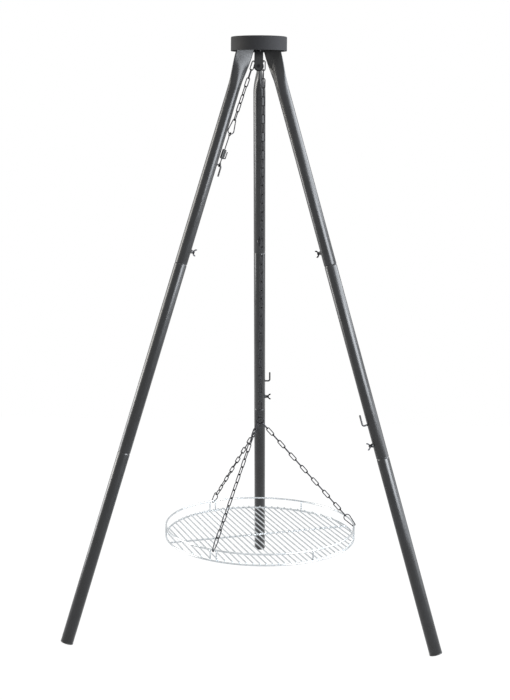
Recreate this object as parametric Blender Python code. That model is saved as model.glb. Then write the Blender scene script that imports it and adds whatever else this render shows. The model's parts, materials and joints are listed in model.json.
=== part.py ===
"""Tripod grill: three plug-together tube legs under a round head, and a grate hung on a chain.

Metres, +Z up. The origin is on the floor, in the middle of the tripod's footprint box.
The back leg points to +Y, and the left and right legs stand in front of it.
"""

import math

import bmesh
import bpy
from mathutils import Matrix, Vector

MM = 0.001

# Clearance between pieces that touch, and the bite of a weld
GAP = 0.3 * MM
WELD = 0.5 * MM

# Flat middle of a turned end, and how far a rounded edge's middle point lies in
TURNED_CENTRE = 1.0 * MM
EDGE_MIDDLE = 0.3

# Legs: three plugged tubes each, hung on a cross bolt in the head
LEG_ANGLE = math.radians(18.4)
LEG_BEARINGS = {"left": 210.0, "right": 330.0, "back": 90.0}
TUBE_DIAMETER = 36.0 * MM
TUBE_WALL = 1.2 * MM
UPPER_BELOW_PIVOT = 646.6 * MM
MIDDLE_SHOWN = 561.4 * MM
LOWER_SHOWN = 561.1 * MM
SPIGOT_LENGTH = 60.0 * MM
SHOULDER_LENGTH = 4.5 * MM
FLAT_WIDTH = 54.3 * MM
FLAT_THICKNESS = 4.0 * MM
FLAT_BELOW_PIVOT = 20.0 * MM
FLARE_LENGTH = 115.0 * MM
TUBE_SIDES = 16

# Foot plugs
PLUG_DIAMETER = 36.4 * MM
PLUG_FLANGE = 4.0 * MM
PLUG_EDGE = 1.5 * MM
PLUG_STUB = 22.0 * MM
FLOOR_FLAT = 0.8 * MM

# Head: a round pressed cover with three leg brackets welded under it
CAP_DIAMETER = 161.0 * MM
CAP_HEIGHT = 40.0 * MM
CAP_WALL = 1.5 * MM
CAP_EDGE = 2.0 * MM
CAP_SIDES = 32
PIVOT_RADIUS = 41.0 * MM
PIVOT_ABOVE_RIM = 12.0 * MM
BRACKET_SHEET = 2.0 * MM
BRACKET_INNER = 14.0 * MM
BRACKET_OUTER = 68.0 * MM
EAR_LENGTH = 26.0 * MM
EAR_TIP_LENGTH = 16.0 * MM
EAR_BELOW_PIVOT = 9.0 * MM
EAR_SLOPE = 5.0 * MM
EAR_PLAY = 0.5 * MM
BOLT_DIAMETER = 8.0 * MM
BOLT_ACROSS_FLATS = 13.0 * MM
BOLT_HEAD = 5.3 * MM
BOLT_NUT = 6.5 * MM

# Pulley: a grooved wheel in a bent strap on a stud under the head
STUD_DIAMETER = 8.0 * MM
STUD_FLANGE_DIAMETER = 20.0 * MM
STUD_FLANGE = 1.5 * MM
STUD_NUT = 5.0 * MM
PULLEY_BELOW_RIM = 42.5 * MM
STRAP_SHEET = 2.0 * MM
STRAP_WIDTH = 25.0 * MM
STRAP_TOP_BELOW_RIM = 1.0 * MM
WHEEL_DIAMETER = 29.0 * MM
WHEEL_WIDTH = 17.0 * MM
WHEEL_ROOT_DIAMETER = 11.0 * MM
WHEEL_ROOT_WIDTH = 6.0 * MM
WHEEL_LIP = 0.9 * MM
WHEEL_PLAY = 0.6 * MM
AXLE_DIAMETER = 6.0 * MM
AXLE_HEAD_DIAMETER = 10.0 * MM
AXLE_HEAD = 2.0 * MM
CHAIN_RADIUS = 12.2 * MM

# Chain: long welded links of round wire
CHAIN_WIRE = 3.0 * MM
CHAIN_PITCH = 25.55 * MM
CHAIN_WIDTH = 12.0 * MM
LIFT_LINKS = 41
TAIL_LINKS = 7
BRANCH_LINKS = 15

# Snap hooks: pear-shaped wire loops with a sprung gate
SNAP_WIRE = 3.0 * MM
SNAP_LENGTH = 47.0 * MM
SNAP_NARROW = 12.0 * MM
SNAP_WIDE = 22.0 * MM
SNAP_GATE_PLAY = 0.8 * MM
SNAP_HINGE_AT = 9.0 * MM
SNAP_NOSE_AT = 31.0 * MM

# Hub ring, where the lift chain and the three branch chains meet
RING_WIRE = 3.5 * MM
RING_DIAMETER = 23.5 * MM
# Where each branch sits on the ring, in degrees from its lowest point towards +X
RING_SPOTS = {"front_left": -48.0, "right": 42.0, "back_left": -3.0}

# Chain handle between the lift chain and its hook on the left leg
HANDLE_WIRE = 3.0 * MM
HANDLE_LENGTH = 99.0 * MM
HANDLE_EYE_DIAMETER = 13.0 * MM
HANDLE_NECK = 3.0 * MM
GRIP_LENGTH = 28.0 * MM
GRIP_WIDTH = 13.0 * MM
GRIP_LOBE = 7.8 * MM
GRIP_END = 2.5 * MM
GRIP_FROM_BAR = 20.0 * MM
PARKING_UP_GRIP = 3.0 * MM
PARKING_REACH = 4.0 * MM
PARKING_BEND = 2.2 * MM
PARKING_RISE = 21.0 * MM

# Bent-wire hooks on the legs
HOOK_WIRE = 5.0 * MM
HOOK_REACH = 33.0 * MM
HOOK_BEND = 5.0 * MM
HOOK_ARM = 32.0 * MM
HOOK_ABOVE_SEAM = 100.0 * MM
EYE_REACH = 27.5 * MM

# Wing screws
WING_ABOVE_SEAM = 41.0 * MM
WING_SHANK = 6.0 * MM
WING_HUB_DIAMETER = 9.0 * MM
WING_HUB_FROM = 23.5 * MM
WING_HUB_TO = 30.5 * MM
WING_SPAN = 21.5 * MM
WING_TIP = 37.5 * MM
WING_THICKNESS = 2.5 * MM
WING_EAR = 3.0 * MM
MIDDLE_TURN = {"left": 75.0, "right": 50.0, "back": 90.0}

# Grate: a bar field in a ring, with a rail on posts
GRATE_DIAMETER = 570.0 * MM
GRATE_RING_WIRE = 5.0 * MM
GRATE_RAIL_WIRE = 5.0 * MM
GRATE_RAIL_HEIGHT = 32.0 * MM
GRATE_POST_WIRE = 4.0 * MM
GRATE_PAIR_SPACING = 20.0 * MM
GRATE_BAR_WIRE = 4.0 * MM
GRATE_CROSS_WIRE = 5.0 * MM
GRATE_BARS = 32
GRATE_SIDES = 48
# From the lower ring's centre line to the outer bars, to the bar ends and out to the posts
GRATE_BARS_IN = 15.9 * MM
GRATE_ENDS_IN = 1.8 * MM
GRATE_POSTS_OUT = 0.7 * MM
HANG_BEARINGS = {"front_left": 244.0, "right": 4.0, "back_left": 124.0}
SINGLE_BEARINGS = (304.0, 64.0, 184.0)
BAR_BEARING = 291.5

# Worked out from the sizes above
TUBE_RADIUS = TUBE_DIAMETER / 2
BORE_RADIUS = TUBE_RADIUS - TUBE_WALL
SPIGOT_RADIUS = BORE_RADIUS - GAP
LEG_LENGTH = UPPER_BELOW_PIVOT + MIDDLE_SHOWN + LOWER_SHOWN + PLUG_FLANGE
LEG_DOWN = Vector((math.sin(LEG_ANGLE), 0, -math.cos(LEG_ANGLE)))
PLUG_RADIUS = PLUG_DIAMETER / 2
FOOT_HEIGHT = (PLUG_RADIUS - PLUG_EDGE) * math.sin(LEG_ANGLE) - FLOOR_FLAT
PIVOT_Z = FOOT_HEIGHT + LEG_LENGTH * math.cos(LEG_ANGLE)
RIM_Z = PIVOT_Z - PIVOT_ABOVE_RIM
CAP_TOP_Z = RIM_Z + CAP_HEIGHT
CAP_UNDER_Z = CAP_TOP_Z - CAP_WALL
WEB_UNDER_Z = CAP_UNDER_Z - GAP - BRACKET_SHEET
FOOT_RADIUS = PIVOT_RADIUS + LEG_LENGTH * math.sin(LEG_ANGLE)
PLUG_RIM_RADIUS = FOOT_RADIUS - PLUG_EDGE * math.sin(LEG_ANGLE)
BACK_REACH = PLUG_RIM_RADIUS + PLUG_RADIUS * math.cos(LEG_ANGLE)
FRONT_LEAN = math.sin(LEG_ANGLE) / 2
FRONT_REACH = PLUG_RIM_RADIUS / 2 + PLUG_RADIUS * math.sqrt(1 - FRONT_LEAN**2)
AXIS_Y = -(BACK_REACH - FRONT_REACH) / 2
# The flattened end's outer corner meets the bracket web and stops the leg there
LEG_END = (
    WEB_UNDER_Z - PIVOT_Z - GAP - FLAT_WIDTH / 2 * math.sin(LEG_ANGLE)
) / math.cos(LEG_ANGLE)
SEAM_1 = UPPER_BELOW_PIVOT
SEAM_2 = SEAM_1 + MIDDLE_SHOWN
EAR_INSIDE = FLAT_THICKNESS / 2 + EAR_PLAY
PULLEY_Z = RIM_Z - PULLEY_BELOW_RIM
STRAP_TOP_Z = RIM_Z - STRAP_TOP_BELOW_RIM
CHEEK_INSIDE = WHEEL_WIDTH / 2 + WHEEL_PLAY
LINK_RADIUS = (CHAIN_WIDTH - CHAIN_WIRE) / 2
LINK_OVERLAP = CHAIN_WIRE - WELD
LINK_LENGTH = CHAIN_PITCH + LINK_OVERLAP
CHAIN_TOP_Z = PULLEY_Z + CHAIN_RADIUS
CHAIN_X = LINK_LENGTH / 2
FREE_HOLD = CHAIN_WIRE + GAP
FREE_SHIFT = FREE_HOLD - LINK_OVERLAP
LEAD_TOP_Z = CHAIN_TOP_Z + FREE_HOLD - LINK_OVERLAP / 2
RING_RADIUS = (RING_DIAMETER - RING_WIRE) / 2
RING_HOLD = (RING_WIRE + CHAIN_WIRE) / 2 + GAP
CHAIN_END_Z = LEAD_TOP_Z - LIFT_LINKS * CHAIN_PITCH + 2 * FREE_SHIFT
LAST_APEX_Z = CHAIN_END_Z - LINK_OVERLAP / 2
RING_BACK = RING_HOLD - LINK_OVERLAP / 2
HUB_Z = LAST_APEX_Z + RING_HOLD - RING_RADIUS
SNAP_HOLD = (SNAP_WIRE + CHAIN_WIRE) / 2 + GAP
SNAP_BACK = SNAP_HOLD - LINK_OVERLAP / 2
RAIL_HOLD = (SNAP_WIRE + GRATE_RAIL_WIRE) / 2 + GAP
SNAP_CENTRES = SNAP_LENGTH - SNAP_WIRE
# From the tail chain's last node to the handle's top eye: the snap hook less its two holds
TAIL_SNAP_RUN = SNAP_CENTRES - SNAP_BACK - (SNAP_WIRE + HANDLE_WIRE) / 2 - 2 * GAP
RAIL_RADIUS = (GRATE_DIAMETER - GRATE_RAIL_WIRE) / 2
RING_LOWER_RADIUS = (GRATE_DIAMETER - GRATE_RING_WIRE) / 2
POST_RADIUS = RING_LOWER_RADIUS + GRATE_POSTS_OUT
BAR_END_RADIUS = RING_LOWER_RADIUS - GRATE_ENDS_IN
BAR_SPACING = 2 * (RING_LOWER_RADIUS - GRATE_BARS_IN) / (GRATE_BARS - 1)


def polar(radius, degrees, z=0.0):
    angle = math.radians(degrees)
    return Vector((radius * math.cos(angle), radius * math.sin(angle), z))


def square_to(vector, axis):
    """The part of a vector that is square to an axis, at unit length."""
    return (vector - axis * vector.dot(axis)).normalized()


def clear_scene():
    for item in list(bpy.data.objects):
        bpy.data.objects.remove(item, do_unlink=True)


def finish(name, colour, roughness, metallic):
    """A Principled material; the colour is linear."""
    found = bpy.data.materials.get(name)
    if found:
        return found
    made = bpy.data.materials.new(name)
    made.use_nodes = True
    shader = made.node_tree.nodes["Principled BSDF"]
    shader.inputs["Base Color"].default_value = (*colour, 1.0)
    shader.inputs["Roughness"].default_value = roughness
    shader.inputs["Metallic"].default_value = metallic
    made.diffuse_color = (*colour, 1.0)
    return made


def black_paint():
    return finish("powder_coat_black", (0.035, 0.036, 0.038), 0.42, 0.0)


def dark_zinc():
    return finish("black_zinc_wire", (0.05, 0.05, 0.053), 0.4, 0.8)


def bright_wire():
    return finish("bright_chromed_wire", (0.62, 0.65, 0.67), 0.2, 1.0)


def black_plastic():
    return finish("moulded_black_plastic", (0.02, 0.02, 0.02), 0.5, 0.0)


def add_object(name, mesh, material, parent, place=None):
    """One named object from a bmesh, placed in its parent's frame."""
    data = bpy.data.meshes.new(name)
    bmesh.ops.recalc_face_normals(mesh, faces=mesh.faces)
    mesh.to_mesh(data)
    mesh.free()
    made = bpy.data.objects.new(name, data)
    bpy.context.scene.collection.objects.link(made)
    if material:
        data.materials.append(material)
    if parent:
        made.parent = parent
    if place is not None:
        made.matrix_local = place
    data.shade_smooth()
    data.set_sharp_from_angle(angle=math.radians(35))
    return made


def add_empty(name, parent, place):
    made = bpy.data.objects.new(name, None)
    made.empty_display_size = 0.03
    bpy.context.scene.collection.objects.link(made)
    made.parent = parent
    made.matrix_local = place
    return made


def as_operand(item):
    """A cutter or a joined half: used by a Boolean, not a piece."""
    item.hide_render = True
    item.display_type = "WIRE"
    return item


def combine(target, operand, operation):
    step = target.modifiers.new(operation.lower(), "BOOLEAN")
    step.operation = operation
    step.solver = "EXACT"
    step.object = as_operand(operand)


def skin(rings, closed=False, into=None):
    """A closed body through rings of equal count, capped at both ends unless it closes on itself."""
    mesh = into or bmesh.new()
    rows = [[mesh.verts.new(point) for point in ring] for ring in rings]
    count = len(rows[0])
    pairs = list(zip(rows, rows[1:]))
    if closed:
        pairs.append((rows[-1], rows[0]))
    for one, two in pairs:
        for i in range(count):
            j = (i + 1) % count
            mesh.faces.new((one[i], one[j], two[j], two[i]))
    if not closed:
        mesh.faces.new(list(reversed(rows[0])))
        mesh.faces.new(rows[-1])
    return mesh


def circle(radius, z, sides, phase=0.0):
    return [polar(radius, phase + 360.0 * i / sides, z) for i in range(sides)]


def hexagon(across_flats, z, phase=0.0):
    """A hexagon with its corners and side middles, so it skins to a 12-sided circle."""
    corner = across_flats / math.sqrt(3)
    return [
        polar(corner if i % 2 == 0 else across_flats / 2, phase + 30.0 * i, z)
        for i in range(12)
    ]


def turned(profile, sides, closed=False, phase=0.0):
    """A turned body from (radius, height) pairs along its wall."""
    return skin([circle(radius, z, sides, phase) for radius, z in profile], closed)


def bored(radius, reach):
    """A round cutter along Z, turned half a facet so its corners miss other edges."""
    return turned([(radius, -reach), (radius, reach)], 12, phase=15.0)


def wire(points, radius, sides, flat_normal, closed=False, into=None):
    """Round wire along points that lie in one plane, mitred at each bend."""
    count = len(points)
    rings = []
    for i, point in enumerate(points):
        ahead = points[(i + 1) % count] - point
        behind = point - points[i - 1]
        if not closed and i == 0:
            behind = ahead
        if not closed and i == count - 1:
            ahead = behind
        ahead, behind = ahead.normalized(), behind.normalized()
        along = (ahead + behind).normalized()
        stretch = 1.0 / max(along.dot(ahead), 0.5)
        side = flat_normal.cross(along).normalized() * radius * stretch
        lift = flat_normal * radius
        ring = []
        for k in range(sides):
            angle = 2 * math.pi * k / sides
            ring.append(point + lift * math.cos(angle) + side * math.sin(angle))
        rings.append(ring)
    return skin(rings, closed, into)


def prism(outline, thickness):
    """A flat plate: an outline in X and Y, centred on Z."""
    low = [Vector((x, y, -thickness / 2)) for x, y in outline]
    high = [Vector((x, y, thickness / 2)) for x, y in outline]
    return skin([low, high])


def box(low, high):
    corners = ((low[0], low[1]), (high[0], low[1]), (high[0], high[1]), (low[0], high[1]))
    return skin([[Vector((x, y, z)) for x, y in corners] for z in (low[2], high[2])])


def frame_of(x_axis, z_axis, origin):
    """A placement with the given Z axis, its X axis as near as it can be to x_axis."""
    z_axis = z_axis.normalized()
    x_axis = square_to(x_axis, z_axis)
    y_axis = z_axis.cross(x_axis)
    turn = Matrix((x_axis, y_axis, z_axis)).transposed()
    return Matrix.Translation(origin) @ turn.to_4x4()


def tripod_frame():
    return add_empty("tripod_axis", None, Matrix.Translation((0, AXIS_Y, 0)))


def leg_matrix(bearing):
    """Local Z runs up the leg, local X outward, from the pivot bolt's centre."""
    return (
        Matrix.Rotation(math.radians(bearing), 4, "Z")
        @ Matrix.Translation((PIVOT_RADIUS, 0, PIVOT_Z))
        @ Matrix.Rotation(-LEG_ANGLE, 4, "Y")
    )


def make_cap(tripod):
    outer = CAP_DIAMETER / 2
    inner = outer - CAP_WALL
    profile = [
        (TURNED_CENTRE, CAP_TOP_Z),
        (outer - CAP_EDGE, CAP_TOP_Z),
        (outer - EDGE_MIDDLE * CAP_EDGE, CAP_TOP_Z - EDGE_MIDDLE * CAP_EDGE),
        (outer, CAP_TOP_Z - CAP_EDGE),
        (outer, RIM_Z),
        (inner, RIM_Z),
        (inner, CAP_UNDER_Z),
        (TURNED_CENTRE, CAP_UNDER_Z),
    ]
    return add_object("cap_shell", turned(profile, CAP_SIDES), black_paint(), tripod)


def make_bracket(side, bearing, tripod):
    """A channel with two ears round the flattened end of the leg."""
    outside = EAR_INSIDE + BRACKET_SHEET
    turn = Matrix.Rotation(math.radians(bearing), 4, "Z")
    web = box(
        (BRACKET_INNER, -outside, WEB_UNDER_Z),
        (BRACKET_OUTER, outside, WEB_UNDER_Z + BRACKET_SHEET),
    )
    bracket = add_object(f"leg_bracket_{side}", web, black_paint(), tripod, turn)
    half, tip = EAR_LENGTH / 2, EAR_TIP_LENGTH / 2
    web_middle = WEB_UNDER_Z - PIVOT_Z + BRACKET_SHEET / 2
    outline = [
        (-half, web_middle),
        (-half, -EAR_BELOW_PIVOT + EAR_SLOPE),
        (-tip, -EAR_BELOW_PIVOT),
        (tip, -EAR_BELOW_PIVOT),
        (half, -EAR_BELOW_PIVOT + EAR_SLOPE),
        (half, web_middle),
    ]
    upright = Matrix.Rotation(math.radians(90), 4, "X")
    for sign in (-1, 1):
        ear = add_object(f"ear_{side}_{sign}", prism(outline, BRACKET_SHEET), None, tripod)
        middle = sign * (EAR_INSIDE + BRACKET_SHEET / 2)
        ear.matrix_local = turn @ Matrix.Translation((PIVOT_RADIUS, middle, PIVOT_Z)) @ upright
        combine(bracket, ear, "UNION")
    hole = bored(BOLT_DIAMETER / 2 + GAP, 2 * outside)
    cutter = add_object(f"ear_hole_{side}", hole, None, tripod)
    cutter.matrix_local = turn @ Matrix.Translation((PIVOT_RADIUS, 0, PIVOT_Z)) @ upright
    combine(bracket, cutter, "DIFFERENCE")


def make_pivot_bolt(side, bearing, tripod):
    """Hexagon bolt and lock nut, tangent to the head."""
    outside = EAR_INSIDE + BRACKET_SHEET + GAP
    shank = BOLT_DIAMETER / 2
    rings = [
        hexagon(BOLT_ACROSS_FLATS, -outside - BOLT_HEAD, 15.0),
        hexagon(BOLT_ACROSS_FLATS, -outside, 15.0),
        circle(shank, -outside, 12, 15.0),
        circle(shank, outside, 12, 15.0),
        hexagon(BOLT_ACROSS_FLATS, outside, 15.0),
        hexagon(BOLT_ACROSS_FLATS, outside + BOLT_NUT, 15.0),
    ]
    place = (
        Matrix.Rotation(math.radians(bearing), 4, "Z")
        @ Matrix.Translation((PIVOT_RADIUS, 0, PIVOT_Z))
        @ Matrix.Rotation(math.radians(90), 4, "X")
    )
    return add_object(f"pivot_bolt_{side}", skin(rings), dark_zinc(), tripod, place)


def flattened_ring(ease, z):
    """The tube's section between a flattened slot (ease 0) and a circle (ease 1)."""
    straight = FLAT_WIDTH - FLAT_THICKNESS
    end = FLAT_THICKNESS / 2
    quarter = straight / 2 + math.pi * end / 2
    ring = []
    for i in range(TUBE_SIDES):
        angle = 2 * math.pi * i / TUBE_SIDES
        quadrant = angle / (math.pi / 2)
        step = quadrant % 2
        run = (1 - abs(step - 1)) * quarter
        if run <= math.pi * end / 2:
            bend = run / end
            x = straight / 2 + end * math.cos(bend)
            y = end * math.sin(bend)
        else:
            x = straight / 2 - (run - math.pi * end / 2)
            y = end
        x = math.copysign(max(x, 0.0), math.cos(angle))
        y = math.copysign(y, math.sin(angle))
        if abs(math.cos(angle)) < 1e-9:
            x = 0.0
        if abs(math.sin(angle)) < 1e-9:
            y = 0.0
        round_x = TUBE_RADIUS * math.cos(angle)
        round_y = TUBE_RADIUS * math.sin(angle)
        ring.append(Vector((x + (round_x - x) * ease, y + (round_y - y) * ease, z)))
    return ring


def smooth_step(f):
    return f * f * (3 - 2 * f)


def cross_cutter(name, parent, radius, reach_from, reach_to, z, degrees):
    """A round cutter square to the leg, from one distance off its axis to another."""
    mesh = turned([(radius, reach_from), (radius, reach_to)], 12, phase=15.0)
    across = frame_of(Vector((0, 0, 1)), polar(1.0, degrees), Vector((0, 0, z)))
    return add_object(name, mesh, None, parent, across)


def make_upper_tube(side, leg):
    """Flattened where the pivot bolt goes through, round below, bored for the next tube."""
    rings = [flattened_ring(0.0, LEG_END), flattened_ring(0.0, -FLAT_BELOW_PIVOT)]
    steps = 6
    for i in range(1, steps + 1):
        f = i / steps
        rings.append(flattened_ring(smooth_step(f), -FLAT_BELOW_PIVOT - f * FLARE_LENGTH))
    blind = -FLAT_BELOW_PIVOT - FLARE_LENGTH
    rings += [
        circle(TUBE_RADIUS, -SEAM_1, TUBE_SIDES),
        circle(BORE_RADIUS, -SEAM_1, TUBE_SIDES),
        circle(BORE_RADIUS, blind, TUBE_SIDES),
    ]
    tube = add_object(f"upper_tube_{side}", skin(rings), black_paint(), leg)
    hole = bored(BOLT_DIAMETER / 2 + GAP, FLAT_THICKNESS)
    cutter = add_object(f"bolt_hole_{side}", hole, None, leg, Matrix.Rotation(math.radians(90), 4, "X"))
    combine(tube, cutter, "DIFFERENCE")
    combine(tube, wing_hole(f"upper_{side}", leg, SEAM_1, 180.0), "DIFFERENCE")
    return tube


def wing_hole(name, leg, seam, degrees):
    return cross_cutter(
        f"wing_hole_{name}",
        leg,
        WING_SHANK / 2 + GAP,
        BORE_RADIUS - 2 * TUBE_WALL,
        TUBE_RADIUS + 2 * TUBE_WALL,
        -seam + WING_ABOVE_SEAM,
        degrees,
    )


def plugged_tube(top, bottom):
    """A tube between two seams with its swaged spigot standing above the top one."""
    spigot_bore = SPIGOT_RADIUS - TUBE_WALL
    return turned(
        [
            (TUBE_RADIUS, -bottom),
            (TUBE_RADIUS, -top - SHOULDER_LENGTH),
            (SPIGOT_RADIUS, -top),
            (SPIGOT_RADIUS, -top + SPIGOT_LENGTH),
            (spigot_bore, -top + SPIGOT_LENGTH),
            (spigot_bore, -top - SHOULDER_LENGTH),
            (BORE_RADIUS, -top - 2 * SHOULDER_LENGTH),
            (BORE_RADIUS, -bottom),
        ],
        TUBE_SIDES,
        closed=True,
    )


def make_middle_tube(side, leg):
    tube = add_object(f"middle_tube_{side}", plugged_tube(SEAM_1, SEAM_2), black_paint(), leg)
    degrees = 180.0 + MIDDLE_TURN[side]
    combine(tube, wing_hole(f"middle_{side}", leg, SEAM_2, degrees), "DIFFERENCE")
    return tube


def make_lower_tube(side, leg):
    bottom = LEG_LENGTH - PLUG_FLANGE
    return add_object(f"lower_tube_{side}", plugged_tube(SEAM_2, bottom), black_paint(), leg)


def make_foot_plug(side, leg, floor):
    """A plastic end plug, its lowest edge flat where it stands on the ground."""
    flange_top = -LEG_LENGTH + PLUG_FLANGE - GAP
    profile = [
        (TURNED_CENTRE, -LEG_LENGTH),
        (PLUG_RADIUS - PLUG_EDGE, -LEG_LENGTH),
        (PLUG_RADIUS - EDGE_MIDDLE * PLUG_EDGE, -LEG_LENGTH + EDGE_MIDDLE * PLUG_EDGE),
        (PLUG_RADIUS, -LEG_LENGTH + PLUG_EDGE),
        (PLUG_RADIUS, flange_top),
        (SPIGOT_RADIUS, flange_top),
        (SPIGOT_RADIUS, flange_top + PLUG_STUB),
        (TURNED_CENTRE, flange_top + PLUG_STUB),
    ]
    plug = add_object(f"foot_plug_{side}", turned(profile, TUBE_SIDES), black_plastic(), leg)
    combine(plug, floor, "DIFFERENCE")
    return plug


def make_wing_screw(name, leg, seam, degrees):
    """Thumb screw whose tip bears on the spigot through the outer tube's wall."""
    axis = polar(1.0, degrees)
    place = frame_of(Vector((0, 0, 1)), axis, Vector((0, 0, -seam + WING_ABOVE_SEAM)))
    shank = WING_SHANK / 2
    hub = WING_HUB_DIAMETER / 2
    body = turned(
        [
            (shank, BORE_RADIUS),
            (shank, WING_HUB_FROM),
            (hub, WING_HUB_FROM),
            (hub, WING_HUB_TO),
        ],
        12,
        phase=15.0,
    )
    screw = add_object(f"wing_screw_{name}", body, dark_zinc(), leg, place)
    half = WING_SPAN / 2
    ear = WING_EAR / 2
    root = WING_HUB_FROM + ear
    saddle = WING_HUB_TO - ear
    right = [
        (hub - ear, root),
        (half - ear / 2, WING_TIP - 2 * WING_EAR),
        (half, WING_TIP - WING_EAR),
        (half - ear, WING_TIP),
        (half - WING_EAR, WING_TIP - ear),
        (hub - WING_EAR, saddle),
    ]
    outline = right + [(-x, y) for x, y in reversed(right)]
    ears = add_object(f"wings_{name}", prism(outline, WING_THICKNESS), None, leg)
    ears.matrix_local = place @ Matrix.Rotation(math.radians(90), 4, "X")
    combine(screw, ears, "UNION")
    return screw


def hook_points(sign):
    """A bent-wire hook in its own plane: out along X, then along Z with the given sign."""
    start = TUBE_RADIUS + GAP
    points = [Vector((start, 0, 0)), Vector((HOOK_REACH - HOOK_BEND, 0, 0))]
    for degrees in (30.0, 60.0, 90.0):
        angle = math.radians(degrees)
        x = HOOK_REACH - HOOK_BEND + HOOK_BEND * math.sin(angle)
        z = sign * HOOK_BEND * (1 - math.cos(angle))
        points.append(Vector((x, 0, z)))
    points.append(Vector((HOOK_REACH, 0, sign * HOOK_ARM)))
    return points


def make_hook(name, leg, z, degrees, sign):
    points = hook_points(sign)
    place = Matrix.Translation((0, 0, z)) @ Matrix.Rotation(math.radians(degrees), 4, "Z")
    mesh = wire(points, HOOK_WIRE / 2, 8, Vector((0, 1, 0)))
    return add_object(name, mesh, black_paint(), leg, place)


def make_stud(tripod):
    """A stud welded under the head, with the nut that holds the pulley strap."""
    shank = STUD_DIAMETER / 2
    flange = STUD_FLANGE_DIAMETER / 2
    top = CAP_UNDER_Z - GAP
    strap_under = STRAP_TOP_Z - STRAP_SHEET - GAP
    rings = [
        circle(flange, top, 12),
        circle(flange, top - STUD_FLANGE, 12),
        circle(shank, top - STUD_FLANGE, 12),
        circle(shank, strap_under, 12),
        hexagon(BOLT_ACROSS_FLATS, strap_under),
        hexagon(BOLT_ACROSS_FLATS, strap_under - STUD_NUT),
    ]
    return add_object("pulley_stud", skin(rings), dark_zinc(), tripod)


def make_strap(tripod):
    """A strap bent over the wheel: a top with the stud hole, and two round-ended cheeks."""
    outside = CHEEK_INSIDE + STRAP_SHEET
    half = STRAP_WIDTH / 2
    web = box((-half, -outside, STRAP_TOP_Z - STRAP_SHEET), (half, outside, STRAP_TOP_Z))
    strap = add_object("pulley_strap", web, black_paint(), tripod)
    top = STRAP_TOP_Z - STRAP_SHEET / 2 - PULLEY_Z
    outline = [(half, top), (-half, top), (-half, 0.0)]
    for degrees in (216.0, 252.0, 288.0, 324.0):
        point = polar(half, degrees)
        outline.append((point.x, point.y))
    outline.append((half, 0.0))
    upright = Matrix.Rotation(math.radians(90), 4, "X")
    for sign in (-1, 1):
        cheek = add_object(f"cheek_{sign}", prism(outline, STRAP_SHEET), None, tripod)
        middle = sign * (CHEEK_INSIDE + STRAP_SHEET / 2)
        cheek.matrix_local = Matrix.Translation((0, middle, PULLEY_Z)) @ upright
        combine(strap, cheek, "UNION")
    hole = turned(
        [
            (STUD_DIAMETER / 2 + GAP, STRAP_TOP_Z - 2 * STRAP_SHEET),
            (STUD_DIAMETER / 2 + GAP, STRAP_TOP_Z + STRAP_SHEET),
        ],
        12,
    )
    combine(strap, add_object("stud_hole", hole, None, tripod), "DIFFERENCE")
    cutter = add_object("axle_hole", bored(AXLE_DIAMETER / 2 + GAP, 2 * outside), None, tripod)
    cutter.matrix_local = Matrix.Translation((0, 0, PULLEY_Z)) @ upright
    combine(strap, cutter, "DIFFERENCE")
    return strap


def make_axle(tripod):
    """The pulley's pin, headed at both ends."""
    reach = CHEEK_INSIDE + STRAP_SHEET + GAP
    profile = [
        (AXLE_HEAD_DIAMETER / 2, -reach - AXLE_HEAD),
        (AXLE_HEAD_DIAMETER / 2, -reach),
        (AXLE_DIAMETER / 2, -reach),
        (AXLE_DIAMETER / 2, reach),
        (AXLE_HEAD_DIAMETER / 2, reach),
        (AXLE_HEAD_DIAMETER / 2, reach + AXLE_HEAD),
    ]
    place = Matrix.Translation((0, 0, PULLEY_Z)) @ Matrix.Rotation(math.radians(90), 4, "X")
    axle = turned(profile, 12, phase=15.0)
    return add_object("pulley_axle", axle, dark_zinc(), tripod, place)


def make_wheel(tripod):
    rim = WHEEL_DIAMETER / 2
    root = WHEEL_ROOT_DIAMETER / 2
    half = WHEEL_WIDTH / 2
    bore = AXLE_DIAMETER / 2 + GAP
    profile = [
        (bore, -half),
        (rim, -half),
        (rim, -half + WHEEL_LIP),
        (root, -WHEEL_ROOT_WIDTH / 2),
        (root, WHEEL_ROOT_WIDTH / 2),
        (rim, half - WHEEL_LIP),
        (rim, half),
        (bore, half),
    ]
    place = Matrix.Translation((0, 0, PULLEY_Z)) @ Matrix.Rotation(math.radians(90), 4, "X")
    return add_object("pulley_wheel", turned(profile, 20, closed=True), black_paint(), tripod, place)


def link_points(centre, along, normal):
    """The centre line of one link: two straight sides and two round ends, eight points."""
    side = normal.cross(along)
    half_straight = LINK_LENGTH / 2 - LINK_RADIUS
    reach = LINK_RADIUS / math.cos(math.radians(22.5))
    points = []
    for end in (1, -1):
        for degrees in (-67.5, -22.5, 22.5, 67.5):
            angle = math.radians(degrees)
            forward = half_straight + reach * math.cos(angle)
            points.append(centre + along * (end * forward) + side * (end * reach * math.sin(angle)))
    return points


def add_link(mesh, start, end, normal):
    along = (end - start).normalized()
    normal = square_to(normal, along)
    centre = (start + end) / 2
    wire(link_points(centre, along, normal), CHAIN_WIRE / 2, 4, normal, closed=True, into=mesh)


def make_chain(name, parent, spans, normals):
    """One link per span, each welded to the next where they cross."""
    halves = (bmesh.new(), bmesh.new())
    for i, (start, end) in enumerate(spans):
        add_link(halves[i % 2], start, end, normals[i])
    chain = add_object(name, halves[0], dark_zinc(), parent)
    if len(spans) == 1:
        halves[1].free()
        return chain
    other = add_object(f"{name}_other_links", halves[1], None, parent)
    combine(chain, other, "UNION")
    return chain


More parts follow.
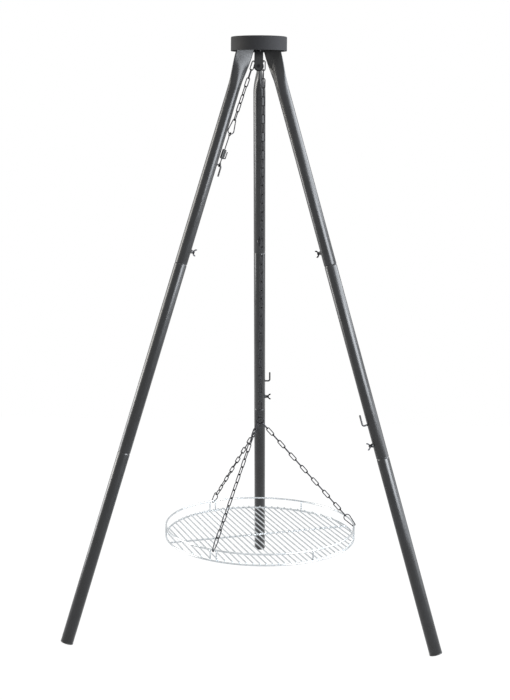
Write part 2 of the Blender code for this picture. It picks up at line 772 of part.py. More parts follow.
def twisting(first, last, along, count):
    """Link normals from the first link's to the last one's, a quarter turn or so at a time."""
    across = square_to(first, along)
    beside = along.cross(across)
    wanted = square_to(last, along)
    end_angle = math.atan2(wanted.dot(beside), wanted.dot(across))
    quarter = math.pi / 2
    spare = (end_angle - quarter * (count - 1)) % math.pi
    if spare > quarter:
        spare -= math.pi
    normals = []
    for i in range(count):
        angle = i * (quarter + spare / max(count - 1, 1))
        normals.append(across * math.cos(angle) + beside * math.sin(angle))
    return normals


def line_spans(start, along, count):
    nodes = [start + along * (CHAIN_PITCH * i) for i in range(count + 1)]
    return list(zip(nodes, nodes[1:]))


def snap_outline(steps):
    """The snap hook's arcs: from the gate's side of the narrow end round to its side of the wide end."""
    narrow = (SNAP_NARROW - SNAP_WIRE) / 2
    wide = (SNAP_WIDE - SNAP_WIRE) / 2
    low = Vector((0, narrow))
    high = Vector((0, SNAP_CENTRES - wide))
    lean = math.asin((wide - narrow) / (high.y - low.y))
    points = []
    for centre, radius, first, last in (
        (low, narrow, -lean, -math.pi + lean),
        (high, wide, math.pi + lean, -lean),
    ):
        for i in range(steps + 1):
            angle = first + (last - first) * i / steps
            points.append(centre + Vector((math.cos(angle), math.sin(angle))) * radius)
    return points


def gate_point(foot, head, y):
    f = (y - foot.y) / (head.y - foot.y)
    return foot + (head - foot) * f


def snap_parts(name, parent, narrow_apex, along, plane_side):
    """A snap hook and its gate. Along points from the narrow end to the wide end."""
    normal = plane_side.cross(along)
    place = frame_of(plane_side, normal, narrow_apex)
    points = snap_outline(6)
    hinge = gate_point(points[0], points[-1], SNAP_HINGE_AT)
    nose = gate_point(points[0], points[-1], SNAP_NOSE_AT)
    body = [hinge] + points + [nose]
    body_mesh = wire([Vector((p.x, p.y, 0)) for p in body], SNAP_WIRE / 2, 6, Vector((0, 0, 1)))
    add_object(name, body_mesh, dark_zinc(), parent, place)
    gate_way = (nose - hinge).normalized()
    start = hinge + gate_way * SNAP_GATE_PLAY
    end = nose - gate_way * GAP
    lift = Vector((hinge.x, hinge.y, 0))
    gate_points = [Vector((p.x, p.y, 0)) - lift for p in (start, end)]
    gate_mesh = wire(gate_points, SNAP_WIRE / 2, 6, Vector((0, 0, 1)))
    gate_place = place @ Matrix.Translation(lift)
    add_object(f"{name}_gate", gate_mesh, dark_zinc(), parent, gate_place)


def leg_hook_depth():
    """How far down the left leg the chain hook sits, so that the chain run just reaches it."""
    leg = leg_matrix(LEG_BEARINGS["left"])
    start = Vector((-CHAIN_X, 0, CHAIN_TOP_Z))
    base = leg @ Vector((-EYE_REACH, 0, 0)) - start
    down = (leg.to_3x3() @ Vector((0, 0, -1))).normalized()
    run = TAIL_LINKS * CHAIN_PITCH - LINK_OVERLAP / 2 + TAIL_SNAP_RUN + HANDLE_LENGTH
    b = base.dot(down)
    return -b + math.sqrt(b * b - base.dot(base) + run * run)


def tail_line():
    """Start, direction and hook depth of the straight run from the pulley to the left leg."""
    depth = leg_hook_depth()
    leg = leg_matrix(LEG_BEARINGS["left"])
    start = Vector((-CHAIN_X, 0, CHAIN_TOP_Z))
    bar = leg @ Vector((-EYE_REACH, 0, -depth))
    along = (bar - start).normalized()
    across = square_to(leg.to_3x3() @ Vector((-1, 0, 0)), along)
    return start, along, across, bar, depth


def make_tail_chain(tripod):
    """The link over the wheel and the links down to the snap hook."""
    start, along, across, _, _ = tail_line()
    flat_half = Vector((CHAIN_PITCH / 2, 0, 0))
    flat_middle = Vector((0, 0, CHAIN_TOP_Z))
    spans = [(flat_middle + flat_half, flat_middle - flat_half)]
    spans += line_spans(start - along * (LINK_OVERLAP / 2), along, TAIL_LINKS)
    normals = [Vector((0, 0, 1))] + twisting(Vector((0, 1, 0)), across, along, TAIL_LINKS)
    return make_chain("tail_chain", tripod, spans, normals)


def make_tail_snap(tripod):
    start, along, across, _, _ = tail_line()
    end = start + along * (TAIL_LINKS * CHAIN_PITCH - LINK_OVERLAP / 2)
    apex = end - along * SNAP_BACK
    snap_parts("tail_snap", tripod, apex, along, across)


def handle_place():
    """Local Z runs down the handle to the hook bar, local X across it, away from the leg."""
    _, along, across, bar, _ = tail_line()
    return frame_of(across, along, bar)


def handle_eye(centre_z, way):
    """An eye of the handle, from its open end round to where it meets the straight wire."""
    radius = (HANDLE_EYE_DIAMETER - HANDLE_WIRE) / 2
    points = []
    for degrees in (-155.0, -110.0, -65.0, -20.0, 25.0, 70.0, 115.0):
        angle = math.radians(degrees)
        points.append(Vector((0, -radius * math.sin(angle), centre_z + way * radius * math.cos(angle))))
    return points


def make_handle_wire(tripod):
    """Wire with an eye at each end: one round the leg's hook, one in the snap hook."""
    radius = (HANDLE_EYE_DIAMETER - HANDLE_WIRE) / 2
    low_centre = (HOOK_WIRE + HANDLE_WIRE) / 2 + GAP - radius
    high_centre = -HANDLE_LENGTH + radius
    necks = [
        Vector((0, 0, low_centre - radius - HANDLE_NECK)),
        Vector((0, 0, high_centre + radius + HANDLE_NECK)),
    ]
    points = [*handle_eye(low_centre, 1), *necks, *reversed(handle_eye(high_centre, -1))]
    mesh = wire(points, HANDLE_WIRE / 2, 6, Vector((1, 0, 0)))
    add_object("handle_wire", mesh, dark_zinc(), tripod, handle_place())


def lobed_ring(size, z):
    """The grip's section: two round lobes side by side, with a groove between them."""
    lobe = GRIP_LOBE / 2
    centre = GRIP_WIDTH / 2 - lobe
    groove = math.pi - math.acos(centre / lobe)
    ring = []
    for side in (1, -1):
        for k in range(6):
            angle = groove * (k / 3 - 1)
            x = side * (centre + lobe * math.cos(angle))
            ring.append(Vector((x * size, side * lobe * math.sin(angle) * size, z)))
    return ring


def make_grip(tripod):
    """Moulded grip with rounded ends, its wire through the middle."""
    low = -GRIP_FROM_BAR
    high = low - GRIP_LENGTH
    end = (GRIP_WIDTH / 2 - GRIP_END) / (GRIP_WIDTH / 2)
    rings = [
        lobed_ring(end, low),
        lobed_ring(1.0, low - GRIP_END),
        lobed_ring(1.0, high + GRIP_END),
        lobed_ring(end, high),
        circle(HANDLE_WIRE / 2 + GAP, high, 12, -90.0),
        circle(HANDLE_WIRE / 2 + GAP, low, 12, -90.0),
    ]
    add_object("handle_grip", skin(rings, closed=True), black_plastic(), tripod, handle_place())


def make_parking_hook(tripod):
    """The small hook on the grip's side that a link is parked on."""
    side_face = GRIP_WIDTH / 2 + GAP
    z = -GRIP_FROM_BAR - PARKING_UP_GRIP
    reach = GRIP_WIDTH / 2 + PARKING_REACH
    bend = PARKING_BEND
    points = [
        Vector((side_face, 0, z)),
        Vector((reach - bend, 0, z)),
        Vector((reach - EDGE_MIDDLE * bend, 0, z - EDGE_MIDDLE * bend)),
        Vector((reach, 0, z - bend)),
        Vector((reach, 0, z - PARKING_RISE)),
    ]
    mesh = wire(points, HANDLE_WIRE / 2, 6, Vector((0, 1, 0)))
    add_object("handle_parking_hook", mesh, dark_zinc(), tripod, handle_place())


def make_lift_chain(tripod):
    """Its first link hangs beside the wheel, and its last one holds the hub ring."""
    across, ahead, down = Vector((1, 0, 0)), Vector((0, 1, 0)), Vector((0, 0, -1))
    lead_span = line_spans(Vector((CHAIN_X, 0, LEAD_TOP_Z)), down, 1)
    make_chain("lift_chain_lead_link", tripod, lead_span, [ahead])
    body_top = lead_span[0][1] - down * FREE_SHIFT
    body_links = LIFT_LINKS - 2
    body_spans = line_spans(body_top, down, body_links)
    normals = twisting(across, ahead, down, body_links)
    make_chain("lift_chain", tripod, body_spans, normals)
    end_span = line_spans(body_spans[-1][1] - down * FREE_SHIFT, down, 1)
    make_chain("lift_chain_end_link", tripod, end_span, [across])


def make_hub_ring(grate):
    points = []
    for k in range(16):
        angle = 2 * math.pi * k / 16
        points.append(Vector((RING_RADIUS * math.cos(angle), 0, RING_RADIUS * math.sin(angle))))
    place = Matrix.Translation((CHAIN_X, 0, HUB_Z))
    mesh = wire(points, RING_WIRE / 2, 6, Vector((0, 1, 0)), closed=True)
    return add_object("hub_ring", mesh, dark_zinc(), grate, place)


def ring_spot(name):
    """Where a branch pulls on the hub ring, and the ring wire's direction there."""
    angle = math.radians(RING_SPOTS[name])
    outward = Vector((math.sin(angle), 0, -math.cos(angle)))
    hub = Vector((CHAIN_X, 0, HUB_Z))
    return hub + outward * RING_RADIUS, Vector((0, 1, 0)).cross(outward)


def grate_centre():
    """The rail's centre, where all three branches are taut and the grate is level."""
    run = BRANCH_LINKS * CHAIN_PITCH - RING_BACK - SNAP_BACK + SNAP_CENTRES - RAIL_HOLD
    centre = Vector((CHAIN_X, 0, HUB_Z - math.sqrt(run**2 - RAIL_RADIUS**2)))
    for _ in range(60):
        step = Vector((0, 0, 0))
        for name, bearing in HANG_BEARINGS.items():
            rail = centre + polar(RAIL_RADIUS, bearing)
            reach = rail - ring_spot(name)[0]
            step += reach.normalized() * (reach.length - run)
        centre -= step * 0.6
    return centre


def make_branch(name, bearing, grate):
    outward = polar(1.0, bearing)
    rail = grate_centre() + outward * RAIL_RADIUS
    spot, tangent = ring_spot(name)
    along = (rail - spot).normalized()
    rail_way = Vector((0, 0, 1)).cross(outward)
    across = along.cross(rail_way)
    spans = line_spans(spot - along * RING_BACK, along, BRANCH_LINKS)
    normals = twisting(tangent, across, along, BRANCH_LINKS)
    make_chain(f"branch_chain_{name}", grate, spans, normals)
    wide_apex = spans[-1][1] - along * SNAP_BACK
    narrow_apex = wide_apex + along * SNAP_CENTRES
    snap_parts(f"grate_snap_{name}", grate, narrow_apex, -along, across)


def make_grate(grate):
    middle = grate_centre()
    centre = Vector((middle.x, middle.y, 0))
    rail_z = middle.z
    ring_z = rail_z - GRATE_RAIL_HEIGHT

    def hoop(radius, z, wire_diameter):
        points = [centre + polar(radius, 360.0 * k / GRATE_SIDES, z) for k in range(GRATE_SIDES)]
        return wire(points, wire_diameter / 2, 6, Vector((0, 0, 1)), closed=True)

    ring_mesh = hoop(RING_LOWER_RADIUS, ring_z, GRATE_RING_WIRE)
    add_object("grate_ring", ring_mesh, bright_wire(), grate)
    ring_top = ring_z + GRATE_RING_WIRE / 2

    rail = add_object("grate_rail", hoop(RAIL_RADIUS, rail_z, GRATE_RAIL_WIRE), bright_wire(), grate)
    pair = math.degrees(GRATE_PAIR_SPACING / 2 / POST_RADIUS)
    bearings = list(SINGLE_BEARINGS)
    for bearing in HANG_BEARINGS.values():
        bearings += [bearing - pair, bearing + pair]
    posts = bmesh.new()
    for bearing in bearings:
        foot = centre + polar(POST_RADIUS, bearing, ring_top + GAP)
        head = centre + polar(POST_RADIUS, bearing, rail_z)
        wire([foot, head], GRATE_POST_WIRE / 2, 6, polar(1.0, bearing), into=posts)
    combine(rail, add_object("grate_posts", posts, None, grate), "UNION")

    bar_way = polar(1.0, BAR_BEARING)
    bar_side = Vector((0, 0, 1)).cross(bar_way)
    bar_z = ring_top + GAP + GRATE_BAR_WIRE / 2
    bars = bmesh.new()
    for i in range(GRATE_BARS):
        offset = (i - (GRATE_BARS - 1) / 2) * BAR_SPACING
        reach = math.sqrt(BAR_END_RADIUS**2 - (abs(offset) + GRATE_BAR_WIRE / 2) ** 2)
        middle = centre + bar_side * offset + Vector((0, 0, bar_z))
        ends = [middle - bar_way * reach, middle + bar_way * reach]
        wire(ends, GRATE_BAR_WIRE / 2, 6, Vector((0, 0, 1)), into=bars)
    cross_z = bar_z - GRATE_BAR_WIRE / 2 + WELD - GRATE_CROSS_WIRE / 2
    cross_reach = RING_LOWER_RADIUS - GRATE_RING_WIRE / 2 - GAP
    middle = centre + Vector((0, 0, cross_z))
    ends = [middle - bar_side * cross_reach, middle + bar_side * cross_reach]
    cross_bar = wire(ends, GRATE_CROSS_WIRE / 2, 6, Vector((0, 0, 1)))
    field = add_object("grate_bars", cross_bar, bright_wire(), grate)
    combine(field, add_object("grate_bar_field", bars, None, grate), "UNION")


def make_leg(side, bearing, tripod, floor):
    leg = add_empty(f"leg_{side}", tripod, leg_matrix(bearing))
    turn = 180.0 + MIDDLE_TURN[side]
    make_bracket(side, bearing, tripod)
    make_pivot_bolt(side, bearing, tripod)
    make_upper_tube(side, leg)
    make_middle_tube(side, leg)
    make_lower_tube(side, leg)
    make_foot_plug(side, leg, floor)
    make_wing_screw(f"upper_{side}", leg, SEAM_1, 180.0)
    make_wing_screw(f"lower_{side}", leg, SEAM_2, turn)
    make_hook(f"utensil_hook_{side}", leg, -SEAM_2 + HOOK_ABOVE_SEAM, turn, 1)
    return leg


def build():
    clear_scene()
    tripod = tripod_frame()
    reach = 2 * FOOT_RADIUS
    ground = box((-reach, -reach, -PLUG_DIAMETER), (reach, reach, 0.0))
    floor = add_object("floor_cutter", ground, None, None)
    make_cap(tripod)
    legs = {side: make_leg(side, bearing, tripod, floor) for side, bearing in LEG_BEARINGS.items()}
    make_hook("chain_hook", legs["left"], -leg_hook_depth(), 180.0, -1)
    make_stud(tripod)
    make_strap(tripod)
    make_axle(tripod)
    make_wheel(tripod)
    make_tail_chain(tripod)
    make_tail_snap(tripod)
    make_handle_wire(tripod)
    make_grip(tripod)
    make_parking_hook(tripod)
    make_lift_chain(tripod)
    make_hub_ring(tripod)
    for name, bearing in HANG_BEARINGS.items():
        make_branch(name, bearing, tripod)
    make_grate(tripod)


build()
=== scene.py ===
"""Looks of the tripod grill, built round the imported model.

Every piece is in metres and in the model's own frame: +Z up, the back leg towards +Y. A piece's
object sits at the origin and its place is in its mesh.
"""

import json
import math

import bmesh
import bpy
from mathutils import Matrix, Vector

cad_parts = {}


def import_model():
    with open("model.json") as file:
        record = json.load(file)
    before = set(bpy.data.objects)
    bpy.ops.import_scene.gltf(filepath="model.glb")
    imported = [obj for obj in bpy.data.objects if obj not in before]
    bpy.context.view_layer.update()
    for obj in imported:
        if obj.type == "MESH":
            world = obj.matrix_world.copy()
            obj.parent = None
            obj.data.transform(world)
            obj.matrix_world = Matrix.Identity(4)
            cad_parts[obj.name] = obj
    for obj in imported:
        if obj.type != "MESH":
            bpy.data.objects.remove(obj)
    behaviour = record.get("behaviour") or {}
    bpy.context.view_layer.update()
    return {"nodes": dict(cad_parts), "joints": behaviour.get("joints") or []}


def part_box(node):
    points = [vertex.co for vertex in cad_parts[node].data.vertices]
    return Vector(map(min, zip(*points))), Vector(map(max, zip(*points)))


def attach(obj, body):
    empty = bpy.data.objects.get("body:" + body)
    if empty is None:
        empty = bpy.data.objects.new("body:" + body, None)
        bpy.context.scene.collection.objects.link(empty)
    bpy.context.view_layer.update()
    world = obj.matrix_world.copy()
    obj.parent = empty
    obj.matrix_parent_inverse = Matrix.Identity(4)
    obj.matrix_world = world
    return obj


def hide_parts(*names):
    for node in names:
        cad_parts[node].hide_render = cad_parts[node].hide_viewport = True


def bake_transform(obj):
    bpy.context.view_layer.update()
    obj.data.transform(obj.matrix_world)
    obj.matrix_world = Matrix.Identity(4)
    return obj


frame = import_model()
JOINTS = {joint["name"]: joint for joint in frame["joints"]}

MM = 0.001
SIDES = ("left", "right", "back")
UP = Vector((0, 0, 1))
DOWN = Vector((0, 0, -1))
RIGHT = Vector((1, 0, 0))
AWAY = Vector((0, 1, 0))

# Legs
TUBE_RADIUS = 18.0 * MM
TUBE_WALL = 1.2 * MM
TUBE_LIP = 0.4 * MM
CLEARANCE = 0.3 * MM
SEAM_1 = 646.6 * MM
SEAM_2 = SEAM_1 + 561.4 * MM
TUBE_END = SEAM_2 + 561.1 * MM
SPIGOT_LENGTH = 60.0 * MM
SHOULDER_LENGTH = 4.5 * MM
FLAT_WIDTH = 54.3 * MM
FLAT_THICKNESS = 4.0 * MM
FLAT_BELOW_PIVOT = 20.0 * MM
FLARE_LENGTH = 115.0 * MM
TUBE_SIDES = 64

# Foot plugs
PLUG_RADIUS = 18.2 * MM
PLUG_FLANGE = 4.0 * MM
PLUG_EDGE = 1.5 * MM
PLUG_STUB = 22.0 * MM
PLUG_DISH = 0.9 * MM
PLUG_DISH_FLOOR = 0.62 * PLUG_RADIUS
PLUG_DISH_RIM = 0.68 * PLUG_RADIUS
PLUG_CHAMFER = 0.5 * MM
STUB_CHAMFER = 1.0 * MM

# Head cover
COVER_WALL = 1.5 * MM
COVER_EDGE = 2.4 * MM
COVER_LIP = 0.4 * MM
COVER_INNER_EDGE = 1.5 * MM
COVER_FALL = 0.05 * MM
COVER_FALL_FROM = 4.0 * MM

# Chains and snap hooks
CHAIN_WIRE = 3.0 * MM
CHAIN_PITCH = 25.55 * MM
CHAIN_WIDTH = 12.0 * MM
LINK_OVERLAP = 2.5 * MM
TAIL_LINKS = 7
LIFT_BODY_LINKS = 39
BRANCH_LINKS = 15
SNAP_WIRE = 3.0 * MM
SNAP_LENGTH = 47.0 * MM
SNAP_NARROW = 12.0 * MM
SNAP_WIDE = 22.0 * MM
SNAP_GATE_PLAY = 0.8 * MM
SNAP_HINGE_AT = 9.0 * MM
SNAP_NOSE_AT = 31.0 * MM
RIVET_BEHIND_GATE = 1.2 * MM
RIVET_HALF = ((0.5 * MM, 1.75 * MM), (0.95 * MM, 1.6 * MM), (0.95 * MM, 1.0 * MM))
RING_WIRE = 3.5 * MM
RING_DIAMETER = 23.5 * MM
RING_SPOTS = {"front_left": -48.0, "right": 42.0, "back_left": -3.0}

# Chain handle
HANDLE_WIRE = 3.0 * MM
HANDLE_LENGTH = 99.0 * MM
HANDLE_EYE_DIAMETER = 13.0 * MM
HANDLE_NECK = 3.0 * MM
HANDLE_BEND = 2.5 * MM
EYE_OPENS_AT = -155.0
EYE_MEETS_SHAFT_AT = 115.0
GRIP_LENGTH = 28.0 * MM
GRIP_WIDTH = 13.0 * MM
GRIP_LOBE = 7.8 * MM
GRIP_END = 2.5 * MM
GRIP_FROM_BAR = 20.0 * MM
PARKING_UP_GRIP = 3.0 * MM
PARKING_SUNK = 1.0 * MM
PARKING_REACH = 4.0 * MM
PARKING_BEND = 2.2 * MM
PARKING_RISE = 21.0 * MM

# Hooks on the legs
HOOK_WIRE = 5.0 * MM
HOOK_REACH = 33.0 * MM
HOOK_BEND = 5.0 * MM
HOOK_ARM = 32.0 * MM
HOOK_ABOVE_SEAM = 100.0 * MM
EYE_REACH = 27.5 * MM
BEAD_SUNK = 0.9 * MM
BEAD_RISE = 3.4 * MM
BEAD_FOOT = 1.5 * MM
BEAD_CURVE = 1.6

# Wing screws
WING_ABOVE_SEAM = 41.0 * MM
WING_SHANK = 6.0 * MM
WING_THREAD_PITCH = 1.0 * MM
WING_HUB_DIAMETER = 9.0 * MM
WING_HUB_FROM = 23.5 * MM
WING_HUB_TO = 30.5 * MM
WING_SPAN = 21.5 * MM
WING_TIP = 37.5 * MM
WING_THICKNESS = 2.5 * MM
WING_EAR = 3.0 * MM
WING_EAR_CORNER = 1.6 * MM
WING_CHAMFER = 0.8 * MM
WELD_NUT_ACROSS = 10.0 * MM
WELD_NUT_HEIGHT = 5.0 * MM
WELD_NUT_SUNK = 0.8 * MM
WELD_NUT_CHAMFER = 0.8 * MM
# The weld round a nut: how far it stands out at each height
NUT_WELD = ((1.6 * MM, 0.0), (0.9 * MM, 1.2 * MM))
NUT_WELD_TOP = 1.9 * MM
MIDDLE_TURN = {"left": 75.0, "right": 50.0, "back": 90.0}

# Grate
RING_ROD = 5.0 * MM
RAIL_ROD = 5.0 * MM
POST_ROD = 4.0 * MM
BAR_ROD = 4.0 * MM
CROSS_ROD = 5.0 * MM
BAR_COUNT = 32
BARS_IN = 15.9 * MM
BAR_ENDS_IN = 1.8 * MM
POSTS_OUT = 0.7 * MM
PAIR_SPACING = 20.0 * MM
BAR_BEARING = 291.5
HANG_BEARINGS = {"front_left": 244.0, "right": 4.0, "back_left": 124.0}
SINGLE_BEARINGS = (304.0, 64.0, 184.0)
CROSS_SUNK = 0.5 * MM
WELD_SPOT = {"Width": 5.2 * MM, "Height": 1.6 * MM}
WELD_FROM_END = 2.5 * MM

# Pulley wheel
WHEEL_DIAMETER = 29.0 * MM
WHEEL_WIDTH = 17.0 * MM
WHEEL_ROOT_DIAMETER = 11.0 * MM
WHEEL_ROOT_WIDTH = 6.0 * MM
WHEEL_BORE = 6.6 * MM
WHEEL_LIP = 0.9 * MM
WHEEL_SOFTNESS = 0.4 * MM

# Bent wire. The rounding of a corner starts a little early, so that its tightest part has the
# real bend's radius, and a domed tip stands past the end of its path
EARLY_BEND = 1.3
TIP_ROOM = 1.0 * MM
DOME_STEPS = (35, 65, 85)
DOME_RISE = 0.6
POLE_RADIUS = 0.05 * MM

# The photograph's camera, measured from the tripod's axis and the floor
CAMERA_OFFSET = Vector((0.1274, -3.8779, 1.4807))
CAMERA_HEADING = Vector((-0.0675, 0.9977, 0.0))
CAMERA_PITCH = math.radians(7.849)
CAMERA_ROLL = math.radians(0.278)
FOCAL_PIXELS = 1329.8
PRINCIPAL_PIXEL = (210.7, 302.54)
PICTURE_SIZE = (510, 700)
SENSOR = 36.0

# Studio. The paper glows a trace over 1, so that its own share still adds up to white
FLOOR_HALF = 2.4
PAPER_GLOW = 1.03
GLOW_SHARE = 0.94
WORLD_LIGHT = 0.2


def polar(radius, degrees, z=0.0):
    angle = math.radians(degrees)
    return Vector((radius * math.cos(angle), radius * math.sin(angle), z))


def square_to(vector, axis):
    """The part of a vector that is square to an axis, at unit length."""
    return (vector - axis * vector.dot(axis)).normalized()


def frame_of(x_axis, z_axis, origin):
    """A placement with the given Z axis, its X axis as near as it can be to x_axis."""
    z_axis = z_axis.normalized()
    x_axis = square_to(x_axis, z_axis)
    turn = Matrix((x_axis, z_axis.cross(x_axis), z_axis)).transposed()
    return Matrix.Translation(origin) @ turn.to_4x4()


def smooth_step(f):
    return f * f * (3 - 2 * f)


def mix(a, b, f):
    return a + (b - a) * f


def quarter(steps):
    """The sine and cosine at each step of a quarter turn."""
    angles = [math.pi / 2 * k / steps for k in range(steps + 1)]
    return [(math.sin(a), math.cos(a)) for a in angles]


def in_scene(name, data):
    """A new object of some data, in the scene."""
    made = bpy.data.objects.new(name, data)
    bpy.context.scene.collection.objects.link(made)
    return made


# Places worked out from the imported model
WHEEL_CENTRE = Vector(JOINTS["pulley_spin"]["pos_m"])
AXIS = Vector((0, WHEEL_CENTRE.y, 0))
CHAIN_TOP = Vector(JOINTS["chain_swing_side"]["pos_m"])
HUB = Vector(JOINTS["grate_turn"]["pos_m"])
RING_RADIUS = (RING_DIAMETER - RING_WIRE) / 2
SNAP_HOLD = (SNAP_WIRE + CHAIN_WIRE) / 2 + CLEARANCE
SNAP_BACK = SNAP_HOLD - LINK_OVERLAP / 2
RING_BACK = (RING_WIRE + CHAIN_WIRE) / 2 + CLEARANCE - LINK_OVERLAP / 2
SNAP_CENTRES = SNAP_LENGTH - SNAP_WIRE
TAIL_SNAP_RUN = SNAP_CENTRES - SNAP_BACK - (SNAP_WIRE + HANDLE_WIRE) / 2 - 2 * CLEARANCE
TUBE_BORE = TUBE_RADIUS - TUBE_WALL
SPIGOT_RADIUS = TUBE_BORE - CLEARANCE


def leg_frame(side):
    """Local Z runs up the leg, local X outward, from the pivot bolt's centre."""
    up = -Vector(JOINTS[f"leg_plug_upper_{side}"]["axis"])
    outward = Vector((-up.x, -up.y, 0))
    return frame_of(outward, up, Vector(JOINTS[f"leg_fold_{side}"]["pos_m"]))


LEG = {side: leg_frame(side) for side in SIDES}
LEG_END = (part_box("upper_tube_back")[1].z - LEG["back"].translation.z) / LEG["back"][2][2]
LEG_END -= FLAT_WIDTH / 2 * LEG["back"][2][0] / LEG["back"][2][2]


RING_LOW, RING_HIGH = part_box("grate_ring")
RAIL_LOW, RAIL_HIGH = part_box("grate_rail")
# The grate's middle at the height of the lower ring's rod, and of the rail's
GRATE_RING = (RING_LOW + RING_HIGH) / 2
RAIL = Vector((*((RAIL_LOW + RAIL_HIGH) / 2).xy, RAIL_HIGH.z - RAIL_ROD / 2))
RAIL_RADIUS = (RING_HIGH.x - RING_LOW.x - RING_ROD) / 2
POST_RADIUS = RAIL_RADIUS + POSTS_OUT
BAR_END_RADIUS = RAIL_RADIUS - BAR_ENDS_IN
BAR_SPACING = 2 * (RAIL_RADIUS - BARS_IN) / (BAR_COUNT - 1)


# Nodes and materials


def add(tree, kind, inputs=None, **settings):
    """A node with its settings. An input takes a value, or a node or socket to link.

    Inputs are given by name, or by number where their names repeat.
    """
    made = tree.nodes.new(kind)
    for key, value in settings.items():
        setattr(made, key, value)
    for key, value in (inputs or {}).items():
        if isinstance(key, int):
            socket = made.inputs[key]
        else:
            socket = next(s for s in made.inputs if s.name == key and s.enabled)
        if isinstance(value, bpy.types.Node):
            value = next(s for s in value.outputs if s.enabled)
        if isinstance(value, bpy.types.NodeSocket):
            tree.links.new(value, socket)
        else:
            socket.default_value = value
    return made


def emptied(owner):
    """The node tree of a new material or world, with nothing in it."""
    owner.use_nodes = True
    owner.node_tree.nodes.clear()
    return owner.node_tree


def srgb(code):
    """An sRGB hex colour as linear RGBA."""
    values = [int(code[i : i + 2], 16) / 255 for i in (1, 3, 5)]
    linear = [v / 12.92 if v <= 0.04045 else ((v + 0.055) / 1.055) ** 2.4 for v in values]
    return (*linear, 1.0)


def finish(name, patch, tones, roughness, relief, **rest):
    """A surface of two tones in soft patches, its roughness moving with them.

    Each layer of relief gives its grain's size and detail, its depth, and how much of it shows.
    """
    made = bpy.data.materials.new(name)
    tree = emptied(made)
    place = add(tree, "ShaderNodeTexCoord").outputs["Object"]
    grains = []
    for size, detail in [(patch, 3.0)] + [layer[:2] for layer in relief]:
        noise = {"Vector": place, "Scale": 1 / size, "Detail": detail, "Roughness": 0.55}
        grains.append(add(tree, "ShaderNodeTexNoise", noise))
    patches = grains[0]
    normal = {}
    for grain, layer in zip(grains[1:], relief):
        inputs = {"Height": grain, "Distance": layer[2], "Strength": layer[3], **normal}
        normal = {"Normal": add(tree, "ShaderNodeBump", inputs)}
    share = add(tree, "ShaderNodeMapRange", {"Value": patches, "From Min": 0.35, "From Max": 0.65})
    dark, light = srgb(tones[0]), srgb(tones[1])
    colour = add(tree, "ShaderNodeMix", {"Factor": share, "A": dark, "B": light}, data_type="RGBA")
    smooth, rough = roughness
    inputs = {"Value": patches, "From Min": 0.3, "From Max": 0.7, "To Min": smooth, "To Max": rough}
    inputs = {"Base Color": colour, "Roughness": add(tree, "ShaderNodeMapRange", inputs)}
    shader = add(tree, "ShaderNodeBsdfPrincipled", {**inputs, **normal, **rest})
    add(tree, "ShaderNodeOutputMaterial", {"Surface": shader})
    return made


# Polyester powder baked on steel: satin, with an orange peel about 1.5 mm across and wider flow
# marks, both a few hundredths of a millimetre deep
POWDER = finish(
    "satin_black_powder_coat", 45 * MM, ("#0f1012", "#151618"), (0.26, 0.31),
    [(1.5 * MM, 2.0, 0.03 * MM, 0.25), (9 * MM, 2.0, 0.04 * MM, 0.2)],
    IOR=1.5,
)
# Matt powder on the pressed cover: a dry texture that spreads every reflection. The real one is
# near 0.4 mm, and 1 mm shows at this distance
MATT_POWDER = finish(
    "matt_black_powder_coat", 30 * MM, ("#18181a", "#1d1d1f"), (0.72, 0.78),
    [(1.0 * MM, 3.0, 0.04 * MM, 0.35)],
    IOR=1.36,
)
# Black passivated zinc on drawn wire: a dark metal with a dull, slightly cloudy sheen. Its plating
# grain is drawn coarser than real so that it shows
ZINC = finish(
    "black_passivated_zinc", 6 * MM, ("#1c1c1e", "#2c2c2f"), (0.3, 0.46),
    [(0.6 * MM, 2.0, 0.03 * MM, 0.5)],
    Metallic=0.9,
)
# Nickel plate on drawn rod, as on kitchen grates: bright, with faint drawing waves
NICKEL = finish(
    "bright_nickel_plate", 12 * MM, ("#b2b7ba", "#c7cbce"), (0.2, 0.3),
    [(0.8 * MM, 2.0, 0.02 * MM, 0.4)],
    Metallic=1.0,
)
# Polyethylene from a spark-eroded mould: matt and even. Its grain is near 0.2 mm, and 0.5 mm
# shows at this distance
PLASTIC = finish(
    "moulded_polyethylene", 15 * MM, ("#121212", "#191919"), (0.5, 0.62),
    [(0.5 * MM, 2.0, 0.04 * MM, 0.5)],
    IOR=1.51,
)


# Making meshes


def skin(rings, closed=False, into=None):
    """A body through rings of equal count, capped at both ends unless it closes on itself."""
    mesh = into or bmesh.new()
    rows = [[mesh.verts.new(point) for point in ring] for ring in rings]
    count = len(rows[0])
    pairs = list(zip(rows, rows[1:]))
    if closed:
        pairs.append((rows[-1], rows[0]))
    for one, two in pairs:
        for i in range(count):
            j = (i + 1) % count
            mesh.faces.new((one[i], one[j], two[j], two[i]))
    if not closed:
        mesh.faces.new(list(reversed(rows[0])))
        mesh.faces.new(rows[-1])
    return mesh


def circle(radius, z, sides):
    return [polar(radius, 360.0 * i / sides, z) for i in range(sides)]


def turned(profile, sides, closed=False, into=None):
    """A turned body from (radius, height) pairs along its wall."""
    rings = [circle(max(radius, POLE_RADIUS), z, sides) for radius, z in profile]
    return skin(rings, closed, into)


